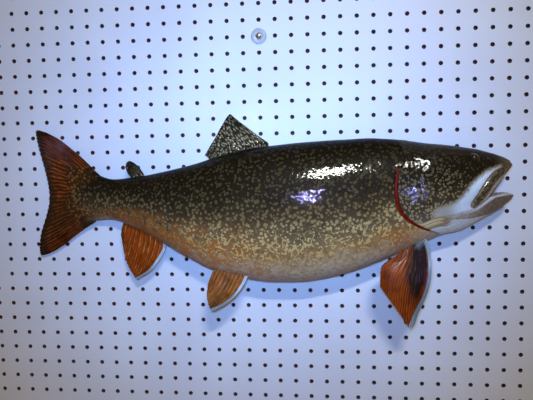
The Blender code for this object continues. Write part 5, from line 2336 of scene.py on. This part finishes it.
# ---- the board
@dataclass(frozen=True)
class PegBoard:
    """The perforated board with its washer and screw."""

    pitch: float = 25.4
    hole_radius: float = 3.45
    columns: int = 37
    rows: int = 28
    segments: int = 16
    washer: Knots = (
        (3.4, 0.3), (12.5, 0.3), (12.5, 0.9), (12.0, 1.3), (9.4, 2.5), (8.6, 2.6), (6.4, 2.5), (5.8, 2.2),
        (3.6, 1.5), (3.4, 1.2),
    )
    screw: Knots = (
        (0, -16), (0.9, -15), (2.0, -12), (2.0, 1.8), (4.3, 2.7), (4.65, 3.1), (4.3, 3.9), (3.1, 4.6),
        (0, 4.95),
    )

    def cell(self) -> BMesh:
        """One square of board around a hole, at the panel's lower left corner.

        Returns:
            The flat cell.
        """
        low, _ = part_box("perforated_board")
        bm = bmesh.new()
        for radius in (self.hole_radius, self.pitch):
            bmesh.ops.create_circle(bm, segments=self.segments, radius=radius)
        for vert in bm.verts:
            reach = max(abs(vert.co.x), abs(vert.co.y))
            if vert.co.length > self.pitch * 0.6:
                vert.co *= self.pitch / 2 / reach
        bmesh.ops.bridge_loops(bm, edges=bm.edges)
        turn = Matrix.Rotation(math.radians(90), 3, "X")
        bmesh.ops.rotate(bm, verts=bm.verts, matrix=turn)
        corner = Vector((low.x / MM + self.pitch / 2, FACE, low.z / MM + self.pitch / 2))
        bmesh.ops.translate(bm, verts=bm.verts, vec=corner)
        return bm

    def panel(self, shop: Shop, looks: Looks) -> None:
        """The whole board: the cell repeated, then given its thickness.

        Args:
            shop: makes and reports the pieces.
            looks: every finish.
        """
        low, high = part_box("perforated_board")
        board = shop.loose("pegboard", self.cell())
        for axis, count in ((0, self.columns), (2, self.rows)):
            array = board.modifiers.new("repeat", "ARRAY")
            array.count = count
            array.use_relative_offset = False
            array.use_constant_offset = True
            array.constant_offset_displace = [self.pitch * MM if i == axis else 0 for i in range(3)]
            array.use_merge_vertices = True
            array.merge_threshold = 0.00005
        mesh = settled(board)
        bm = bmesh.new()
        bm.from_mesh(mesh)
        drawn_out(bm, high.y - low.y)
        for face in bm.faces:
            face.material_index = 0 if face.normal.y < -0.5 else 1
        bm.to_mesh(mesh)
        bm.free()
        mesh.materials.append(looks[Look.PAINT])
        mesh.materials.append(looks[Look.HARDBOARD])
        shop.finish(board, None, "perforated_board", ["perforated_board"])

    def turned(self, shop: Shop, node: str, profile: Knots, sides: int) -> Object:
        """A profile of (radius, height off the board) spun round a node's own middle.

        Args:
            shop: makes and reports the pieces.
            node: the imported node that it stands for.
            profile: the profile's corners.
            sides: steps in a turn.

        Returns:
            The piece.
        """
        low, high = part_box(node)
        bm = bmesh.new()
        spots = [bm.verts.new((radius, -height, 0)) for radius, height in profile]
        pairs = list(zip(spots, spots[1:]))
        if profile[0][0] > 0:
            pairs.append((spots[-1], spots[0]))
        edges = [bm.edges.new(pair) for pair in pairs]
        bmesh.ops.spin(
            bm, geom=spots + edges, cent=(0, 0, 0), axis=(0, 1, 0), angle=2 * math.pi, steps=sides,
            use_merge=True,
        )
        bmesh.ops.remove_doubles(bm, verts=bm.verts, dist=0.001)
        outwards(bm)
        middle = (low + high) / 2 / MM
        bmesh.ops.translate(bm, verts=bm.verts, vec=(middle.x, FACE, middle.z))
        return shop.loose(f"{node}_detail", bm)

    def build(self, shop: Shop, looks: Looks) -> None:
        """Makes the board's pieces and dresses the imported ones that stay.

        Args:
            shop: makes and reports the pieces.
            looks: every finish.
        """
        self.panel(shop, looks)
        washer = self.turned(shop, "board_washer", self.washer, 48)
        shop.finish(washer, looks[Look.WASHER], "board_washer", ["board_washer"], sharp=40)
        screw = self.turned(shop, "board_screw", self.screw, 32)
        shop.finish(screw, looks[Look.STEEL], "board_screw", ["board_screw"], sharp=40)
        kept = {
            Look.PINE: ("batten_left", "batten_centre", "batten_right"),
            Look.PLYWOOD: ("mounting_block",),
            Look.STEEL: ("hanger_plate", "hanger_screw_1", "hanger_screw_2", "hanging_bolt", "hanging_nut"),
        }
        for look, nodes in kept.items():
            for node in nodes:
                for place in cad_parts[node].material_slots:
                    place.material = looks[look]
                log.info("%s: kept from the packed model", node)


# ---- the studio
@dataclass(frozen=True)
class Lamp:
    """One soft lamp; place, aim and size in metres, spread in degrees."""

    name: str
    place: Point
    aim: Point
    size: tuple[float, float]
    power: float
    colour: Colour
    spread: float = 180.0
    mirrored: bool = True
    diffuse: bool = True


@dataclass(frozen=True)
class Studio:
    """Camera, lamps, backdrop and floor."""

    place: Point = (0.07804, -0.94919, 0.09273)
    look: Point = (-0.10292, 0.99054, -0.09075)
    up: Point = (0.00913, 0.09217, 0.9957)
    lens: float = 39.146
    sensor: float = 36.0
    floor_drop: float = 0.55
    inset: float = 0.002
    lift: float = 0.0008
    lamps: tuple[Lamp, ...] = (
        Lamp("key", (0.355, -1.565, 0.99), (0, 0, 0.05), (0.32, 0.06), 1.75, (0.97, 0.98, 0.93), 60),
        Lamp(
            "flash", (0.06, -0.965, 0.13), (-0.04, 0, 0.09), (0.055, 0.04), 1.95, (0.23, 0.475, 1),
            69, mirrored=False,
        ),
        Lamp(
            "glint", (0.142, -0.98, 0.15), (0.07, 0, 0.05), (0.044, 0.008), 0.32, (0.42, 0.41, 1),
            60, diffuse=False,
        ),
        Lamp(
            "dorsal_glint", (0.16, -1.13, 0.4), (-0.06, -0.068, 0.115), (0.1, 0.04), 0.035,
            (1, 0.85, 0.72), 8, diffuse=False,
        ),
        Lamp(
            "tail_glint", (-0.58, -1.07, 0.41), (-0.378, -0.035, 0.1), (0.06, 0.03), 0.01,
            (0.52, 0.46, 1), 5, diffuse=False,
        ),
        Lamp(
            "pectoral_glint", (-0.08, -1.02, 0.45), (0.215, -0.087, -0.062), (0.05, 0.02), 0.0025,
            (0.5, 0.6, 1), 4.5, diffuse=False,
        ),
        Lamp(
            "glint_end", (0.33, -0.95, 0.04), (0.207, 0, 0.04), (0.03, 0.012), 0.0042,
            (0.35, 0.42, 1), 6, diffuse=False,
        ),
        Lamp("sweep", (0.5, -2.2, -1), (0, 0, 0), (1.8, 1), 1.0, (0.8, 0.8, 1), mirrored=False),
        Lamp("behind", (0.6, 2.4, 1.4), (0, 0, 0), (1.8, 1.8), 60.0, (1, 0.97, 0.93)),
        Lamp("floor", (0, 0, -0.5), (0, 0, -1), (8, 8), 105.0, (1, 1, 1), mirrored=False),
    )
    ambient: Colour = (0.19, 0.125, 0.05)
    backdrop: Colour = (0.66, 0.67, 0.7)

    def put(self, name: str, data: bpy.types.ID) -> Object:
        """An object of the studio around its data.

        Args:
            name: the object's name.
            data: its data.

        Returns:
            The object.
        """
        made = bpy.data.objects.new(name, data)
        bpy.context.scene.collection.objects.link(made)
        return made

    def camera(self) -> None:
        """Sets the camera at the mount's viewing angle."""
        data = bpy.data.cameras.new("camera")
        data.lens, data.sensor_width, data.clip_start = self.lens, self.sensor, 0.01
        made = self.put("camera", data)
        ahead = Vector(self.look).normalized()
        right = ahead.cross(Vector(self.up)).normalized()
        above = right.cross(ahead)
        turn = Matrix((right, above, -ahead)).transposed().to_4x4()
        made.matrix_world = Matrix.Translation(Vector(self.place)) @ turn
        bpy.context.scene.camera = made

    def light(self, lamp: Lamp) -> None:
        """Places one lamp.

        Args:
            lamp: the lamp.
        """
        data = bpy.data.lights.new(lamp.name, "AREA")
        data.shape = "RECTANGLE"
        data.size, data.size_y = lamp.size
        data.energy, data.color, data.spread = lamp.power, lamp.colour, math.radians(lamp.spread)
        made = self.put(lamp.name, data)
        way = Vector(lamp.aim) - Vector(lamp.place)
        turn = way.to_track_quat("-Z", "Y").to_matrix().to_4x4()
        made.matrix_world = Matrix.Translation(Vector(lamp.place)) @ turn
        made.visible_camera = False
        made.visible_glossy, made.visible_diffuse = lamp.mirrored, lamp.diffuse

    def plane(self, name: str, corners: Knots, colour: Colour, one_sided: bool) -> Object:
        """A large stage plane; a one-sided one can't be seen from behind.

        Args:
            name: its name.
            corners: its corners.
            colour: its colour.
            one_sided: whether its back is unseen.

        Returns:
            The plane.
        """
        bm = bmesh.new()
        bm.faces.new([bm.verts.new(corner) for corner in corners])
        mesh = bpy.data.meshes.new(name)
        bm.to_mesh(mesh)
        bm.free()
        made = self.put(name, mesh)
        material, g, shader = new_material(name)
        dimmed = tuple(0.92 * channel for channel in colour)
        g.feed(shader.inputs["Base Color"], g.mix(g.noise(g.place(), 3.0, 2.0), dimmed, colour))
        g.feed(shader.inputs["Roughness"], 0.8)
        if one_sided:
            back = g.put("NewGeometry", {}).outputs["Backfacing"]
            clear = g.put("BsdfTransparent", {}).outputs[0]
            both = g.put("MixShader", {0: back, 1: shader.outputs[0], 2: clear}).outputs[0]
            g.feed(material.node_tree.nodes["Material Output"].inputs["Surface"], both)
        mesh.materials.append(material)
        return made

    def world(self) -> None:
        """A pale backdrop that lights the mount only dimly."""
        world = bpy.context.scene.world or bpy.data.worlds.new("studio")
        bpy.context.scene.world = world
        world.use_nodes = True
        g = Graph(world.node_tree)
        seen = g.put("LightPath", {}).outputs["Is Camera Ray"]
        sky = world.node_tree.nodes["Background"]
        g.feed(sky.inputs["Color"], g.mix(seen, self.ambient, self.backdrop))

    def build(self) -> None:
        """Sets up everything round the mount."""
        bpy.context.scene.view_settings.view_transform = "Standard"
        self.camera()
        for lamp in self.lamps:
            self.light(lamp)
        low = CAD_BOX[0][2] - self.floor_drop
        wide, near, far = 4.0, -4.0, 4.0
        floor = [(-wide, near, low), (wide, near, low), (wide, far, low), (-wide, far, low)]
        ground = self.plane("floor", floor, (0.76, 0.77, 0.79), False)
        ground.visible_diffuse = ground.visible_glossy = False
        # A dark one-sided plane just behind the board, inside its edges: painted shade that the holes show
        # in place of the shaded wall and battens behind a real board.
        (left, _, under), (right, depth, top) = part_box("perforated_board")
        inset, behind = self.inset, depth - self.lift
        recess = [
            (left + inset, behind, under + inset), (right - inset, behind, under + inset),
            (right - inset, behind, top - inset), (left + inset, behind, top - inset),
        ]
        self.plane("recess", recess, (0.055, 0.02, 0.02), True)
        self.world()


def main() -> None:
    """Builds the mount and the studio."""
    logging.basicConfig(level=logging.INFO, format="%(message)s")
    shop = Shop()
    finishes = Finishes()
    looks = finishes.all()
    Studio().build()
    PegBoard().build(shop, looks)
    Skin().build(shop, [looks[Look.SKIN], looks[Look.MOUTH], looks[Look.SLIT]])
    HeadPieces().build(shop, looks)
    ScaleCoat().build(shop, looks[Look.SCALE])
    for shape in FINS:
        shape.build(shop, finishes.fin(shape))


if __name__ == "__main__":
    main()
